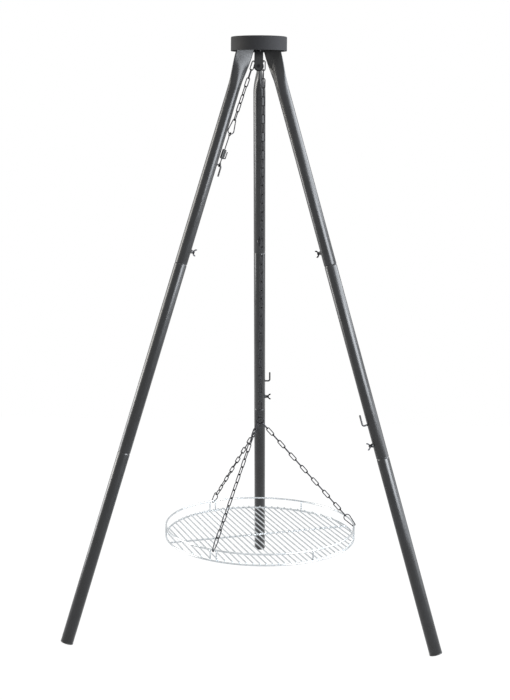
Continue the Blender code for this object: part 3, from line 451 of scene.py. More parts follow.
def softened(corners, radius, steps=4, closed=False):
    """A line through corners, each rounded off to about the given radius."""
    corners = [Vector(c) for c in corners]
    count = len(corners)
    points = []
    for i, corner in enumerate(corners):
        if not closed and i in (0, count - 1):
            points.append(corner)
            continue
        back = corners[i - 1] - corner
        ahead = corners[(i + 1) % count] - corner
        turn = math.pi - back.angle(ahead)
        # Just under half a side at most, so that the next corner's bend has room
        cut = min(radius * math.tan(turn / 2), 0.49 * back.length, 0.49 * ahead.length)
        start = corner + back.normalized() * cut
        end = corner + ahead.normalized() * cut
        for k in range(steps + 1):
            f = k / steps
            points.append(start.lerp(corner, f).lerp(corner.lerp(end, f), f))
    return points


def dome(end, way, ring, radius):
    """Rings that close a wire's end in a low dome."""
    rings = []
    for degrees in DOME_STEPS:
        angle = math.radians(degrees)
        centre = end + way * (radius * math.sin(angle) * DOME_RISE)
        rings.append([centre + (p - end) * math.cos(angle) for p in ring])
    return rings


def swept(path, radius, sides=12, closed=False, into=None):
    """Round wire along a path, its frame carried along without twist, with domed ends."""
    path = [Vector(p) for p in path]
    count = len(path)
    heading = []
    for i in range(count):
        ahead = path[(i + 1) % count] if closed or i < count - 1 else path[i]
        behind = path[i - 1] if closed or i > 0 else path[i]
        heading.append((ahead - behind).normalized())
    side = UP if abs(heading[0].dot(UP)) < 0.9 else RIGHT
    rings = []
    for i, point in enumerate(path):
        side = square_to(side, heading[i])
        lift = heading[i].cross(side)
        rings.append([
            point + (side * math.cos(a) + lift * math.sin(a)) * radius
            for a in (2 * math.pi * k / sides for k in range(sides))
        ])
    if closed:
        # The last frame is turned to meet the first one
        first, last = rings[0], rings[-1]
        shift = min(range(sides), key=lambda s: (last[s] - first[0]).length)
        step = shift / count
        if shift > sides / 2:
            step = (shift - sides) / count
        for i, ring in enumerate(rings):
            turn = Matrix.Rotation(2 * math.pi * step * i / sides, 3, heading[i])
            rings[i] = [path[i] + turn @ (p - path[i]) for p in ring]
        return skin(rings, True, into)
    first = dome(path[0], -heading[0], rings[0], radius)
    last = dome(path[-1], heading[-1], rings[-1], radius)
    return skin([*reversed(first), *rings, *last], False, into)


def fill_in(mesh, bead, place):
    """Adds a closed bead, given as rings, to a mesh at a place."""
    return skin([[place @ p for p in ring] for ring in bead], False, mesh)


def finish_mesh(data, material, body, node, crease):
    """Gives a mesh its finish, and makes it a piece that rides on a body."""
    data.materials.clear()
    data.materials.append(material)
    data.shade_smooth()
    data.set_sharp_from_angle(angle=math.radians(crease))
    made = in_scene(data.name, data)
    if body:
        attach(made, body)
    if node:
        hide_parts(node)
    return made


def settled(name, mesh):
    """Plain mesh data from a bmesh."""
    data = bpy.data.meshes.new(name)
    mesh.to_mesh(data)
    mesh.free()
    return data


def piece(name, mesh, material, body, place=None, node=None, crease=40):
    """A finished piece from a bmesh, in the model's frame, that may stand for a node."""
    if place is not None:
        bmesh.ops.transform(mesh, matrix=place, verts=mesh.verts)
    bmesh.ops.recalc_face_normals(mesh, faces=mesh.faces)
    finish_mesh(settled(name, mesh), material, body, node, crease)


def eased(node, material, width):
    """A copy of a node of the head, its sharp edges broken as on punched and cut steel."""
    mesh = bmesh.new()
    mesh.from_mesh(frame["nodes"][node].data)
    bmesh.ops.remove_doubles(mesh, verts=mesh.verts, dist=0.01 * MM)
    flat = math.radians(2)
    bmesh.ops.dissolve_limit(mesh, angle_limit=flat, verts=mesh.verts, edges=mesh.edges)
    sharp = [e for e in mesh.edges if len(e.link_faces) == 2 and e.calc_face_angle() > 0.6]
    bmesh.ops.bevel(
        mesh, geom=sharp, offset=width, segments=2, profile=0.7, affect="EDGES", clamp_overlap=True
    )
    piece(f"{node}_eased", mesh, material, "head", None, node, 30)


# Geometry Nodes


def new_tree(name, inputs):
    """A geometry tree with named inputs and one geometry output."""
    tree = bpy.data.node_groups.new(name, "GeometryNodeTree")
    tree.interface.new_socket("Geometry", in_out="OUTPUT", socket_type="NodeSocketGeometry")
    for label, kind in inputs.items():
        tree.interface.new_socket(label, in_out="INPUT", socket_type=f"NodeSocket{kind}")
    return tree, add(tree, "NodeGroupInput").outputs


def finish_tree(tree, shape, material):
    """Real geometry, shaded smooth, with its material, out of the tree."""
    real = add(tree, "GeometryNodeRealizeInstances", {"Geometry": shape})
    smooth = add(tree, "GeometryNodeSetShadeSmooth", {"Geometry": real})
    done = add(tree, "GeometryNodeSetMaterial", {"Geometry": smooth, "Material": material})
    add(tree, "NodeGroupOutput", {0: done})
    return tree


def grown(name, tree, values, points=()):
    """The plain mesh that a tree makes with the given input values."""
    data = bpy.data.meshes.new(name)
    data.from_pydata([tuple(p) for p in points], [], [])
    seed = in_scene(name, data)
    step = seed.modifiers.new("grow", "NODES")
    step.node_group = tree
    for item in tree.interface.items_tree:
        if item.in_out == "INPUT" and item.name in values:
            step[item.identifier] = values[item.name]
    bpy.context.view_layer.update()
    evaluated = seed.evaluated_get(bpy.context.evaluated_depsgraph_get())
    made = bpy.data.meshes.new_from_object(evaluated)
    bpy.data.objects.remove(seed)
    bpy.data.meshes.remove(data)
    made.name = name
    return made


def chain_tree():
    """Welded links in a row along Z, each turned a set angle from the last."""
    lengths = ("Pitch", "Link Length", "Link Width", "Wire", "Turn Each")
    inputs = {"Count": "Int", **dict.fromkeys(lengths, "Float"), "Finish": "Material"}
    tree, given = new_tree("chain_links", inputs)
    inputs = {0: given["Link Width"], 1: given["Wire"]}
    width = add(tree, "ShaderNodeMath", inputs, operation="SUBTRACT")
    inputs = {"Width": width, "Height": given["Link Length"]}
    oblong = add(tree, "GeometryNodeCurvePrimitiveQuadrilateral", inputs)
    # A trace under half the width, so that the two bends of an end don't meet in one point
    bend = add(tree, "ShaderNodeMath", {0: width, 1: 0.499}, operation="MULTIPLY")
    inputs = {"Curve": oblong, "Radius": bend, "Count": 7}
    rounded = add(tree, "GeometryNodeFilletCurve", inputs, mode="POLY")
    radius = add(tree, "ShaderNodeMath", {0: given["Wire"], 1: 0.5}, operation="MULTIPLY")
    section = add(tree, "GeometryNodeCurvePrimitiveCircle", {"Resolution": 10, "Radius": radius})
    wire = add(tree, "GeometryNodeCurveToMesh", {"Curve": rounded, "Profile Curve": section})
    inputs = {"Geometry": wire, "Rotation": (math.pi / 2, 0, 0)}
    upright = add(tree, "GeometryNodeTransform", inputs)
    half = add(tree, "ShaderNodeMath", {0: given["Pitch"], 1: 0.5}, operation="MULTIPLY")
    inputs = {
        "Count": given["Count"],
        "Start Location": add(tree, "ShaderNodeCombineXYZ", {"Z": half}),
        "Offset": add(tree, "ShaderNodeCombineXYZ", {"Z": given["Pitch"]}),
    }
    places = add(tree, "GeometryNodeMeshLine", inputs)
    inputs = {0: add(tree, "GeometryNodeInputIndex"), 1: given["Turn Each"]}
    angle = add(tree, "ShaderNodeMath", inputs, operation="MULTIPLY")
    euler = add(tree, "ShaderNodeCombineXYZ", {"Z": angle})
    turn = add(tree, "FunctionNodeEulerToRotation", {"Euler": euler})
    inputs = {"Points": places, "Instance": upright, "Rotation": turn}
    links = add(tree, "GeometryNodeInstanceOnPoints", inputs)
    return finish_tree(tree, links, given["Finish"])


def bar_tree():
    """Parallel rods that end on a circle, side by side along X."""
    lengths = ("Spacing", "Circle Radius", "Rod")
    inputs = {"Count": "Int", **dict.fromkeys(lengths, "Float"), "Finish": "Material"}
    tree, given = new_tree("grate_bars", inputs)
    # Each rod's place across, counted from the middle one
    last = add(tree, "ShaderNodeMath", {0: given["Count"], 1: 1.0}, operation="SUBTRACT")
    middle = add(tree, "ShaderNodeMath", {0: last, 1: 0.5}, operation="MULTIPLY")
    inputs = {0: add(tree, "GeometryNodeInputIndex"), 1: middle}
    step = add(tree, "ShaderNodeMath", inputs, operation="SUBTRACT")
    across = add(tree, "ShaderNodeMath", {0: step, 1: given["Spacing"]}, operation="MULTIPLY")
    start = add(tree, "ShaderNodeCombineXYZ", {"X": across})
    points = add(tree, "GeometryNodePoints", {"Count": given["Count"], "Position": start})
    vertices = add(tree, "GeometryNodePointsToVertices", {"Points": points})
    # A line from each, both its ends then moved out to the circle
    inputs = {"Mesh": vertices, "Offset": add(tree, "ShaderNodeCombineXYZ", {"Y": 1.0})}
    drawn = add(tree, "GeometryNodeExtrudeMesh", inputs, mode="VERTICES")
    inputs = {0: drawn.outputs["Top"], 1: 2.0, 2: -1.0}
    way = add(tree, "ShaderNodeMath", inputs, operation="MULTIPLY_ADD")
    here = add(tree, "ShaderNodeSeparateXYZ", {"Vector": add(tree, "GeometryNodeInputPosition")})
    offset = add(tree, "ShaderNodeMath", {0: here}, operation="ABSOLUTE")
    half = {0: given["Rod"], 1: 0.5}
    edge = add(tree, "ShaderNodeMath", {**half, 2: offset}, operation="MULTIPLY_ADD")
    inputs = {0: given["Circle Radius"], 1: given["Circle Radius"]}
    whole = add(tree, "ShaderNodeMath", inputs, operation="MULTIPLY")
    used = add(tree, "ShaderNodeMath", {0: edge, 1: edge}, operation="MULTIPLY")
    left_over = add(tree, "ShaderNodeMath", {0: whole, 1: used}, operation="SUBTRACT")
    chord = add(tree, "ShaderNodeMath", {0: left_over}, operation="SQRT")
    reach = add(tree, "ShaderNodeMath", {0: chord, 1: way}, operation="MULTIPLY")
    end = add(tree, "ShaderNodeCombineXYZ", {"X": here, "Y": reach})
    placed = add(tree, "GeometryNodeSetPosition", {"Geometry": drawn, "Position": end})
    lines = add(tree, "GeometryNodeMeshToCurve", {"Mesh": placed})
    radius = add(tree, "ShaderNodeMath", half, operation="MULTIPLY")
    section = add(tree, "GeometryNodeCurvePrimitiveCircle", {"Resolution": 12, "Radius": radius})
    inputs = {"Curve": lines, "Profile Curve": section, "Fill Caps": True}
    rods = add(tree, "GeometryNodeCurveToMesh", inputs)
    return finish_tree(tree, rods, given["Finish"])


def weld_tree():
    """Small flattened beads of weld metal on points."""
    inputs = {"Points": "Geometry", "Width": "Float", "Height": "Float", "Finish": "Material"}
    tree, given = new_tree("weld_spots", inputs)
    ball = add(tree, "GeometryNodeMeshIcoSphere", {"Radius": 0.5, "Subdivisions": 2})
    inputs = {"X": given["Width"], "Y": given["Width"], "Z": given["Height"]}
    size = add(tree, "ShaderNodeCombineXYZ", inputs)
    bead = add(tree, "GeometryNodeTransform", {"Geometry": ball, "Scale": size})
    beads = add(tree, "GeometryNodeInstanceOnPoints", {"Points": given["Points"], "Instance": bead})
    return finish_tree(tree, beads, given["Finish"])


CHAIN_TREE = chain_tree()
BAR_TREE = bar_tree()
WELD_TREE = weld_tree()


# Chain


def links(name, start, along, count, first, last):
    """A run of links from a start point, each turned a quarter, with an even twist to the last."""
    turn = math.pi / 2
    across = square_to(first, along)
    if count > 1:
        beside = along.cross(across)
        wanted = square_to(last, along)
        spare = (math.atan2(wanted.dot(beside), wanted.dot(across)) - turn * (count - 1)) % math.pi
        if spare > math.pi / 2:
            spare -= math.pi
        turn += spare / (count - 1)
    values = {"Count": count, "Pitch": CHAIN_PITCH, "Link Length": CHAIN_PITCH + LINK_OVERLAP}
    values |= {"Link Width": CHAIN_WIDTH, "Wire": CHAIN_WIRE, "Turn Each": turn, "Finish": ZINC}
    made = grown(name, CHAIN_TREE, values)
    made.transform(frame_of(across.cross(along), along, start))
    return made


def chain(name, run, body, node):
    """A run of links, given as in links, that stands for a node."""
    return finish_mesh(links(name, *run), ZINC, body, node, 60)


def tail_line():
    """The run from the wheel to the left leg's hook, and that hook's depth down the leg."""
    leg = LEG["left"]
    start = Vector((-CHAIN_TOP.x, CHAIN_TOP.y, CHAIN_TOP.z))
    down = -leg.col[2].to_3d()
    base = leg @ Vector((-EYE_REACH, 0, 0)) - start
    run = TAIL_LINKS * CHAIN_PITCH - LINK_OVERLAP / 2 + TAIL_SNAP_RUN + HANDLE_LENGTH
    b = base.dot(down)
    depth = -b + math.sqrt(b * b - base.dot(base) + run * run)
    bar = leg @ Vector((-EYE_REACH, 0, -depth))
    along = (bar - start).normalized()
    across = square_to(leg.to_3x3() @ Vector((-1, 0, 0)), along)
    return start, along, across, bar, depth


TAIL_START, TAIL_ALONG, TAIL_ACROSS, HOOK_BAR, HOOK_DEPTH = tail_line()


def tail_chain():
    """The flat link over the wheel and the run down to the snap hook."""
    flat_start = Vector((CHAIN_PITCH / 2, CHAIN_TOP.y, CHAIN_TOP.z))
    first = TAIL_START - TAIL_ALONG * (LINK_OVERLAP / 2)
    mesh = bmesh.new()
    for run in (
        links("wheel_link", flat_start, -RIGHT, 1, UP, UP),
        links("tail_links", first, TAIL_ALONG, TAIL_LINKS, AWAY, TAIL_ACROSS),
    ):
        mesh.from_mesh(run)
        bpy.data.meshes.remove(run)
    made = finish_mesh(settled("tail_chain_links", mesh), ZINC, None, "tail_chain", 60)
    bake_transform(made)


def lift_chain():
    """The free lead link, the long run and the free end link."""

    def inside(node, end):
        """Where a run of links starts or ends, at the node's bottom (0) or top (1)."""
        half = (LINK_OVERLAP + CHAIN_WIRE) / 2
        return Vector((CHAIN_TOP.x, CHAIN_TOP.y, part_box(node)[end].z + half * (1 - 2 * end)))

    node = "lift_chain_lead_link"
    chain("lead_link", (inside(node, 1), DOWN, 1, AWAY, AWAY), "chain_lead", node)
    node = "lift_chain"
    top = inside(node, 1)
    made = chain("lift_links", (top, DOWN, LIFT_BODY_LINKS, RIGHT, AWAY), None, node)
    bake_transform(made)
    node = "lift_chain_end_link"
    chain("end_link", (inside(node, 1), DOWN, 1, RIGHT, RIGHT), "chain_end", node)


def hub_ring():
    upright = frame_of(RIGHT, -AWAY, HUB)
    path = [upright @ p for p in circle(RING_RADIUS, 0.0, 48)]
    mesh = swept(path, RING_WIRE / 2, 16, True)
    piece("hub_ring_wire", mesh, ZINC, "grate", None, "hub_ring")


def snap_line():
    """The snap hook's centre line from its gate hinge, round the narrow end, to its nose."""
    narrow = (SNAP_NARROW - SNAP_WIRE) / 2
    wide = (SNAP_WIDE - SNAP_WIRE) / 2
    low = Vector((0, narrow, 0))
    high = Vector((0, SNAP_CENTRES - wide, 0))
    lean = math.asin((wide - narrow) / (high.y - low.y))
    points = []
    for centre, radius, first, last in (
        (low, narrow, -lean, -math.pi + lean),
        (high, wide, math.pi + lean, -lean),
    ):
        for i in range(15):
            angle = mix(first, last, i / 14)
            points.append(centre + Vector((math.cos(angle), math.sin(angle), 0)) * radius)
    foot, head = points[0], points[-1]
    ends = (SNAP_HINGE_AT, SNAP_NOSE_AT)
    hinge, nose = [foot.lerp(head, (y - foot.y) / (head.y - foot.y)) for y in ends]
    return [hinge] + points + [nose], hinge, nose


def snap_hook(node, narrow_apex, along, plane_side, body, gate_body):
    """Pear-shaped snap hook of bent wire, its gate a straight wire on a rivet."""
    place = frame_of(plane_side, plane_side.cross(along), narrow_apex)
    path, hinge, nose = snap_line()
    radius = SNAP_WIRE / 2
    mesh = swept(path, radius)
    # The rivet that the gate turns on, its heads proud of the wire
    rivet = [circle(r, -z, 12) for r, z in RIVET_HALF]
    rivet += [circle(r, z, 12) for r, z in reversed(RIVET_HALF)]
    way = (nose - hinge).normalized()
    fill_in(mesh, rivet, Matrix.Translation(hinge - way * RIVET_BEHIND_GATE))
    piece(f"{node}_wire", mesh, ZINC, body, place, node)
    start = hinge + way * (SNAP_GATE_PLAY + radius * DOME_RISE)
    end = nose - way * (CLEARANCE + radius * DOME_RISE)
    gate = swept([start, start.lerp(end, 0.5), end], radius)
    piece(f"{node}_gate_wire", gate, ZINC, gate_body, place, f"{node}_gate")


def branches():
    """The three chains from the hub ring to the rail, each with its snap hook."""
    for name, bearing in HANG_BEARINGS.items():
        outward = polar(1.0, bearing)
        angle = math.radians(RING_SPOTS[name])
        in_ring = Vector((math.sin(angle), 0, -math.cos(angle)))
        spot = HUB + in_ring * RING_RADIUS
        along = (RAIL + outward * RAIL_RADIUS - spot).normalized()
        across = along.cross(UP.cross(outward))
        start = spot - along * RING_BACK
        run = (start, along, BRANCH_LINKS, AWAY.cross(in_ring), across)
        node = f"branch_chain_{name}"
        chain(f"{node}_links", run, "grate", node)
        wide_apex = start + along * (BRANCH_LINKS * CHAIN_PITCH - SNAP_BACK)
        narrow_apex = wide_apex + along * SNAP_CENTRES
        snap_hook(f"grate_snap_{name}", narrow_apex, -along, across, "grate", f"grate_gate_{name}")


def tail_snap():
    run = TAIL_LINKS * CHAIN_PITCH - LINK_OVERLAP / 2 - SNAP_BACK
    apex = TAIL_START + TAIL_ALONG * run
    snap_hook("tail_snap", apex, TAIL_ALONG, TAIL_ACROSS, "leg_left", "tail_gate")


# Chain handle


# Local Z runs down the handle to the hook bar, local X across it
HANDLE_PLACE = frame_of(TAIL_ACROSS, TAIL_ALONG, HOOK_BAR)


def handle_eye(eye, centre_z, way):
    """From the eye's open end round to where it meets the straight wire."""
    points = []
    for k in range(19):
        angle = math.radians(mix(EYE_OPENS_AT, EYE_MEETS_SHAFT_AT, k / 18))
        points.append(Vector((0, -eye * math.sin(angle), centre_z + way * eye * math.cos(angle))))
    return points


def handle_wire():
    """Bent wire with a closed eye at each end."""
    eye = (HANDLE_EYE_DIAMETER - HANDLE_WIRE) / 2
    low_centre = (HOOK_WIRE + HANDLE_WIRE) / 2 + CLEARANCE - eye
    high_centre = -HANDLE_LENGTH + eye
    neck = eye + HANDLE_NECK
    shaft = [(0, 0, low_centre - neck), (0, 0, high_centre + neck)]
    far_eye = reversed(handle_eye(eye, high_centre, -1))
    corners = [*handle_eye(eye, low_centre, 1), *shaft, *far_eye]
    mesh = swept(softened(corners, HANDLE_BEND, 2), HANDLE_WIRE / 2)
    piece("handle_wire_bent", mesh, ZINC, "leg_left", HANDLE_PLACE, "handle_wire")


def handle_grip():
    """Moulded grip of two round lobes side by side, with a groove between them and rounded ends."""
    lobe = GRIP_LOBE / 2
    apart = GRIP_WIDTH / 2 - lobe
    groove = math.pi - math.acos(apart / lobe)
    profile = [(GRIP_END * (1 - cos), GRIP_END * (1 - sin)) for sin, cos in quarter(6)]
    profile += [(GRIP_LENGTH - along, inset) for along, inset in reversed(profile)]
    rings = []
    for along, inset in profile:
        ring = []
        for side in (1, -1):
            for k in range(16):
                angle = groove * (k / 8 - 1)
                x = side * (apart + (lobe - inset) * math.cos(angle))
                y = side * (lobe - inset) * math.sin(angle)
                ring.append(Vector((x, y, -GRIP_FROM_BAR - along)))
        rings.append(ring)
    name = "handle_grip_moulding"
    piece(name, skin(rings), PLASTIC, "leg_left", HANDLE_PLACE, "handle_grip", 50)


def parking_hook():
    """The small hook on the grip's side that a chain link is parked on."""
    z = -GRIP_FROM_BAR - PARKING_UP_GRIP
    reach = GRIP_WIDTH / 2 + PARKING_REACH
    corners = [
        (GRIP_WIDTH / 2 - PARKING_SUNK, 0, z),
        (reach, 0, z),
        (reach, 0, z - PARKING_RISE + TIP_ROOM),
    ]
    mesh = swept(softened(corners, PARKING_BEND * EARLY_BEND, 8), HANDLE_WIRE / 2)
    node = "handle_parking_hook"
    piece("parking_hook_wire", mesh, ZINC, "leg_left", HANDLE_PLACE, node)


# Legs


def flattened_ring(ease, z):
    """The tube's section between a flattened slot (ease 0) and a circle (ease 1)."""
    half = (FLAT_WIDTH - FLAT_THICKNESS) / 2
    end = FLAT_THICKNESS / 2
    reach = half + math.pi * end / 2
    ring = []
    for i in range(TUBE_SIDES):
        a = 2 * math.pi * i / TUBE_SIDES
        step = (a / (math.pi / 2)) % 2
        run = (1 - abs(step - 1)) * reach
        bend = min(run / end, math.pi / 2)
        x = half + end * math.cos(bend) - max(0.0, run - math.pi * end / 2)
        y = end * math.sin(bend)
        flat = Vector((math.copysign(x, math.cos(a)), math.copysign(y, math.sin(a)), z))
        ring.append(flat.lerp(polar(TUBE_RADIUS, math.degrees(a), z), ease))
    return ring


# A tube's rolled lower edge, as radius and height above its end
ROLLED_EDGE = (
    (TUBE_RADIUS - TUBE_LIP, 0.0),
    (TUBE_RADIUS - TUBE_LIP * 0.3, TUBE_LIP * 0.3),
    (TUBE_RADIUS, TUBE_LIP),
)


def upper_tube(side):
    """Pressed flat at the top, then eased over a hand's width into the round tube."""
    rings = [flattened_ring(0.0, LEG_END), flattened_ring(0.0, -FLAT_BELOW_PIVOT)]
    steps = 24
    for i in range(1, steps + 1):
        f = i / steps
        rings.append(flattened_ring(smooth_step(f), -FLAT_BELOW_PIVOT - f * FLARE_LENGTH))
    rings += [circle(radius, z - SEAM_1, TUBE_SIDES) for radius, z in reversed(ROLLED_EDGE)]
    for z in (-SEAM_1, -FLAT_BELOW_PIVOT - FLARE_LENGTH):
        rings.append(circle(TUBE_BORE, z, TUBE_SIDES))
    node = f"upper_tube_{side}"
    piece(f"{node}_steel", skin(rings), POWDER, f"leg_{side}", LEG[side], node, 50)


def plugged_tube(node, top, bottom, body, side):
    """A tube with its swaged spigot standing above the seam, and a rolled lower edge."""
    spigot_bore = SPIGOT_RADIUS - TUBE_WALL
    mouth = SPIGOT_LENGTH - top
    profile = [(TUBE_BORE, -bottom)]
    profile += [(radius, z - bottom) for radius, z in ROLLED_EDGE]
    for k in range(9):
        f = k / 8
        radius = mix(TUBE_RADIUS, SPIGOT_RADIUS, smooth_step(f))
        profile.append((radius, -top - SHOULDER_LENGTH * (1 - f)))
    profile += [
        (SPIGOT_RADIUS, mouth - TUBE_LIP),
        (SPIGOT_RADIUS - TUBE_LIP, mouth),
        (spigot_bore, mouth),
        (spigot_bore, -top - SHOULDER_LENGTH),
        (TUBE_BORE, -top - 2 * SHOULDER_LENGTH),
    ]
    mesh = turned(profile, TUBE_SIDES, True)
    piece(f"{body}_steel", mesh, POWDER, body, LEG[side], node, 50)


def foot_plug(side):
    """Moulded end plug with a rounded flange, which stands on its lower edge."""
    end = -TUBE_END - PLUG_FLANGE
    top = end + PLUG_FLANGE - CLEARANCE
    dish = end + PLUG_DISH
    profile = [(0.0, dish), (PLUG_DISH_FLOOR, dish), (PLUG_DISH_RIM, end)]
    for sin, cos in quarter(6):
        profile.append((PLUG_RADIUS - PLUG_EDGE * (1 - sin), end + PLUG_EDGE * (1 - cos)))
    profile += [
        (PLUG_RADIUS, top - PLUG_CHAMFER),
        (PLUG_RADIUS - PLUG_CHAMFER, top),
        (SPIGOT_RADIUS, top),
        (SPIGOT_RADIUS, top + PLUG_STUB - STUB_CHAMFER),
        (SPIGOT_RADIUS - STUB_CHAMFER, top + PLUG_STUB),
        (0.0, top + PLUG_STUB),
    ]
    mesh = turned(profile, TUBE_SIDES)
    bmesh.ops.transform(mesh, matrix=LEG[side], verts=mesh.verts)
    # The lowest edge is worn flat on the floor
    for vertex in mesh.verts:
        vertex.co.z = max(vertex.co.z, 0.0)
    node = f"foot_plug_{side}"
    piece(f"{node}_moulding", mesh, PLASTIC, f"leg_{side}_lower", None, node, 50)


def leg_hook(node, side, body, z, degrees, way):
    """Bent wire hook with a domed tip, and the weld bead that holds it to the tube."""
    turn = Matrix.Rotation(math.radians(degrees), 4, "Z")
    place = LEG[side] @ Matrix.Translation((0, 0, z)) @ turn
    tip = (HOOK_REACH, 0, way * (HOOK_ARM - TIP_ROOM))
    corners = [(TUBE_RADIUS, 0, 0), (HOOK_REACH, 0, 0), tip]
    mesh = swept(softened(corners, HOOK_BEND * EARLY_BEND, 10), HOOK_WIRE / 2, 14)
    bead = []
    for f in (0.0, 0.15, 0.35, 0.6, 0.85, 1.0):
        radius = HOOK_WIRE / 2 + BEAD_FOOT * (1 - f) ** BEAD_CURVE
        bead.append(circle(radius, f * BEAD_RISE, 16))
    fill_in(mesh, bead, frame_of(AWAY, RIGHT, Vector((TUBE_RADIUS - BEAD_SUNK, 0, 0))))
    piece(f"{node}_wire", mesh, POWDER, body, place, node)


def threaded(radius, low, high, pitch):
    """A rod with a real thread: its radius rises and falls once round each pitch."""
    sides = 16
    per_pitch = 6
    count = round((high - low) / pitch * per_pitch)
    depth = 0.3 * pitch
    rings = []
    for k in range(count + 1):
        z = mix(low, high, k / count)
        ring = []
        for i in range(sides):
            phase = (z / pitch - i / sides) % 1.0
            ridge = 1 - abs(2 * phase - 1)
            ring.append(polar(radius - depth * (1 - ridge), 360.0 * i / sides, z))
        rings.append(ring)
    return skin(rings)


def screw_place(side, seam, degrees):
    """Local Z runs out of the leg along a wing screw, local X up the leg."""
    axis = polar(1.0, degrees)
    return LEG[side] @ frame_of(UP, axis, Vector((0, 0, WING_ABOVE_SEAM - seam)))


def wing_screw(node, place):
    """Cast wing screw: threaded shank, chamfered hub and two rounded ears."""
    hub = WING_HUB_DIAMETER / 2
    # The thread runs one turn into the hub
    mesh = threaded(WING_SHANK / 2, TUBE_BORE, WING_HUB_FROM + WING_THREAD_PITCH, WING_THREAD_PITCH)
    upper_chamfer = 1.5 * WING_CHAMFER
    profile = [
        (hub - WING_CHAMFER, WING_HUB_FROM),
        (hub, WING_HUB_FROM + WING_CHAMFER),
        (hub, WING_HUB_TO - upper_chamfer),
        (hub - upper_chamfer, WING_HUB_TO),
    ]
    turned(profile, 24, False, mesh)
    half = WING_SPAN / 2
    root = WING_HUB_FROM + WING_EAR / 2
    ear = (
        (hub * 0.3, root),
        (hub - WING_EAR / 2, root),
        (half - WING_EAR / 4, WING_TIP - 2 * WING_EAR),
        (half, WING_TIP - WING_EAR),
        (half - WING_EAR / 2, WING_TIP),
        (half - WING_EAR, WING_TIP - WING_EAR / 2),
        (hub - WING_EAR / 2, WING_HUB_TO - WING_EAR / 2),
        (hub * 0.3, WING_HUB_TO - WING_EAR / 2),
    )
    for way in (-1, 1):
        outline = softened([(way * x, 0, z) for x, z in ear], WING_EAR_CORNER, 4, True)
        rings = []
        # Each ear is a plate, thicker at its middle than at its rounded rim
        middle = sum(outline, Vector()) / len(outline)
        for share, lift in ((0.93, -1.0), (1.0, -0.55), (1.0, 0.55), (0.93, 1.0)):
            y = Vector((0, lift * WING_THICKNESS / 2, 0))
            rings.append([middle.lerp(p, share) + y for p in outline])
        skin(rings, False, mesh)
    piece(f"{node}_casting", mesh, ZINC, node, place, node)


def weld_nut(name, place, body):
    """The nut welded on the tube that the wing screw runs in, with its bead of weld."""
    corner = WELD_NUT_ACROSS / math.sqrt(3)
    bore = WING_SHANK / 2 + CLEARANCE
    flat = WELD_NUT_ACROSS / 2
    foot, top = TUBE_RADIUS - WELD_NUT_SUNK, TUBE_RADIUS + WELD_NUT_HEIGHT

    def nut_ring(radius, z):
        """A hexagon, its corners cut back to the given radius."""
        ring = []
        for k in range(36):
            to_flat = flat / math.cos(math.radians(10.0 * k % 60.0 - 30.0))
            ring.append(polar(min(to_flat, radius), 10.0 * k, z))
        return ring

    rings = [circle(flat + out, foot + height, 36) for out, height in NUT_WELD]
    rings += [nut_ring(corner, foot + NUT_WELD_TOP), nut_ring(corner, top - WELD_NUT_CHAMFER)]
    rings += [nut_ring(flat, top), circle(bore, top, 36), circle(bore, foot, 36)]
    piece(f"{name}_steel", skin(rings, True), POWDER, body, place, None, 30)


def legs():
    for side in SIDES:
        turn = 180.0 + MIDDLE_TURN[side]
        middle, lower = f"leg_{side}_middle", f"leg_{side}_lower"
        upper_tube(side)
        plugged_tube(f"middle_tube_{side}", SEAM_1, SEAM_2, middle, side)
        plugged_tube(f"lower_tube_{side}", SEAM_2, TUBE_END, lower, side)
        foot_plug(side)
        upper_screw = screw_place(side, SEAM_1, 180.0)
        lower_screw = screw_place(side, SEAM_2, turn)
        wing_screw(f"wing_screw_upper_{side}", upper_screw)
        wing_screw(f"wing_screw_lower_{side}", lower_screw)
        weld_nut(f"weld_nut_upper_{side}", upper_screw, f"leg_{side}")
        weld_nut(f"weld_nut_lower_{side}", lower_screw, middle)
        leg_hook(f"utensil_hook_{side}", side, middle, -SEAM_2 + HOOK_ABOVE_SEAM, turn, 1)
    leg_hook("chain_hook", "left", "leg_left", -HOOK_DEPTH, 180.0, -1)


# Head and pulley


def head_cover():
    """Pressed steel cover: flat top, small rounded edge, straight skirt with a soft lower rim."""
    low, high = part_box("cap_shell")
    outer = (high.x - low.x) / 2
    inner = outer - COVER_WALL
    top, rim = high.z, low.z
    fall = (outer - COVER_EDGE - COVER_FALL_FROM, top - COVER_FALL)
    profile = [(0.0, top), (outer * 0.6, top), fall]
    for sin, cos in quarter(8):
        profile.append((outer - COVER_EDGE * (1 - sin), top - COVER_EDGE * (1 - cos)))
    profile += [
        (outer, mix(rim, top, 0.5)),
        (outer, rim + COVER_LIP),
        (outer - COVER_LIP, rim),
        (inner + COVER_LIP, rim),
        (inner, rim + COVER_LIP),
        (inner, top - COVER_WALL - COVER_INNER_EDGE),
        (inner - COVER_INNER_EDGE, top - COVER_WALL),
        (0.0, top - COVER_WALL),
    ]
    place = Matrix.Translation(AXIS)
    piece("head_cover", turned(profile, 128), MATT_POWDER, "head", place, "cap_shell")


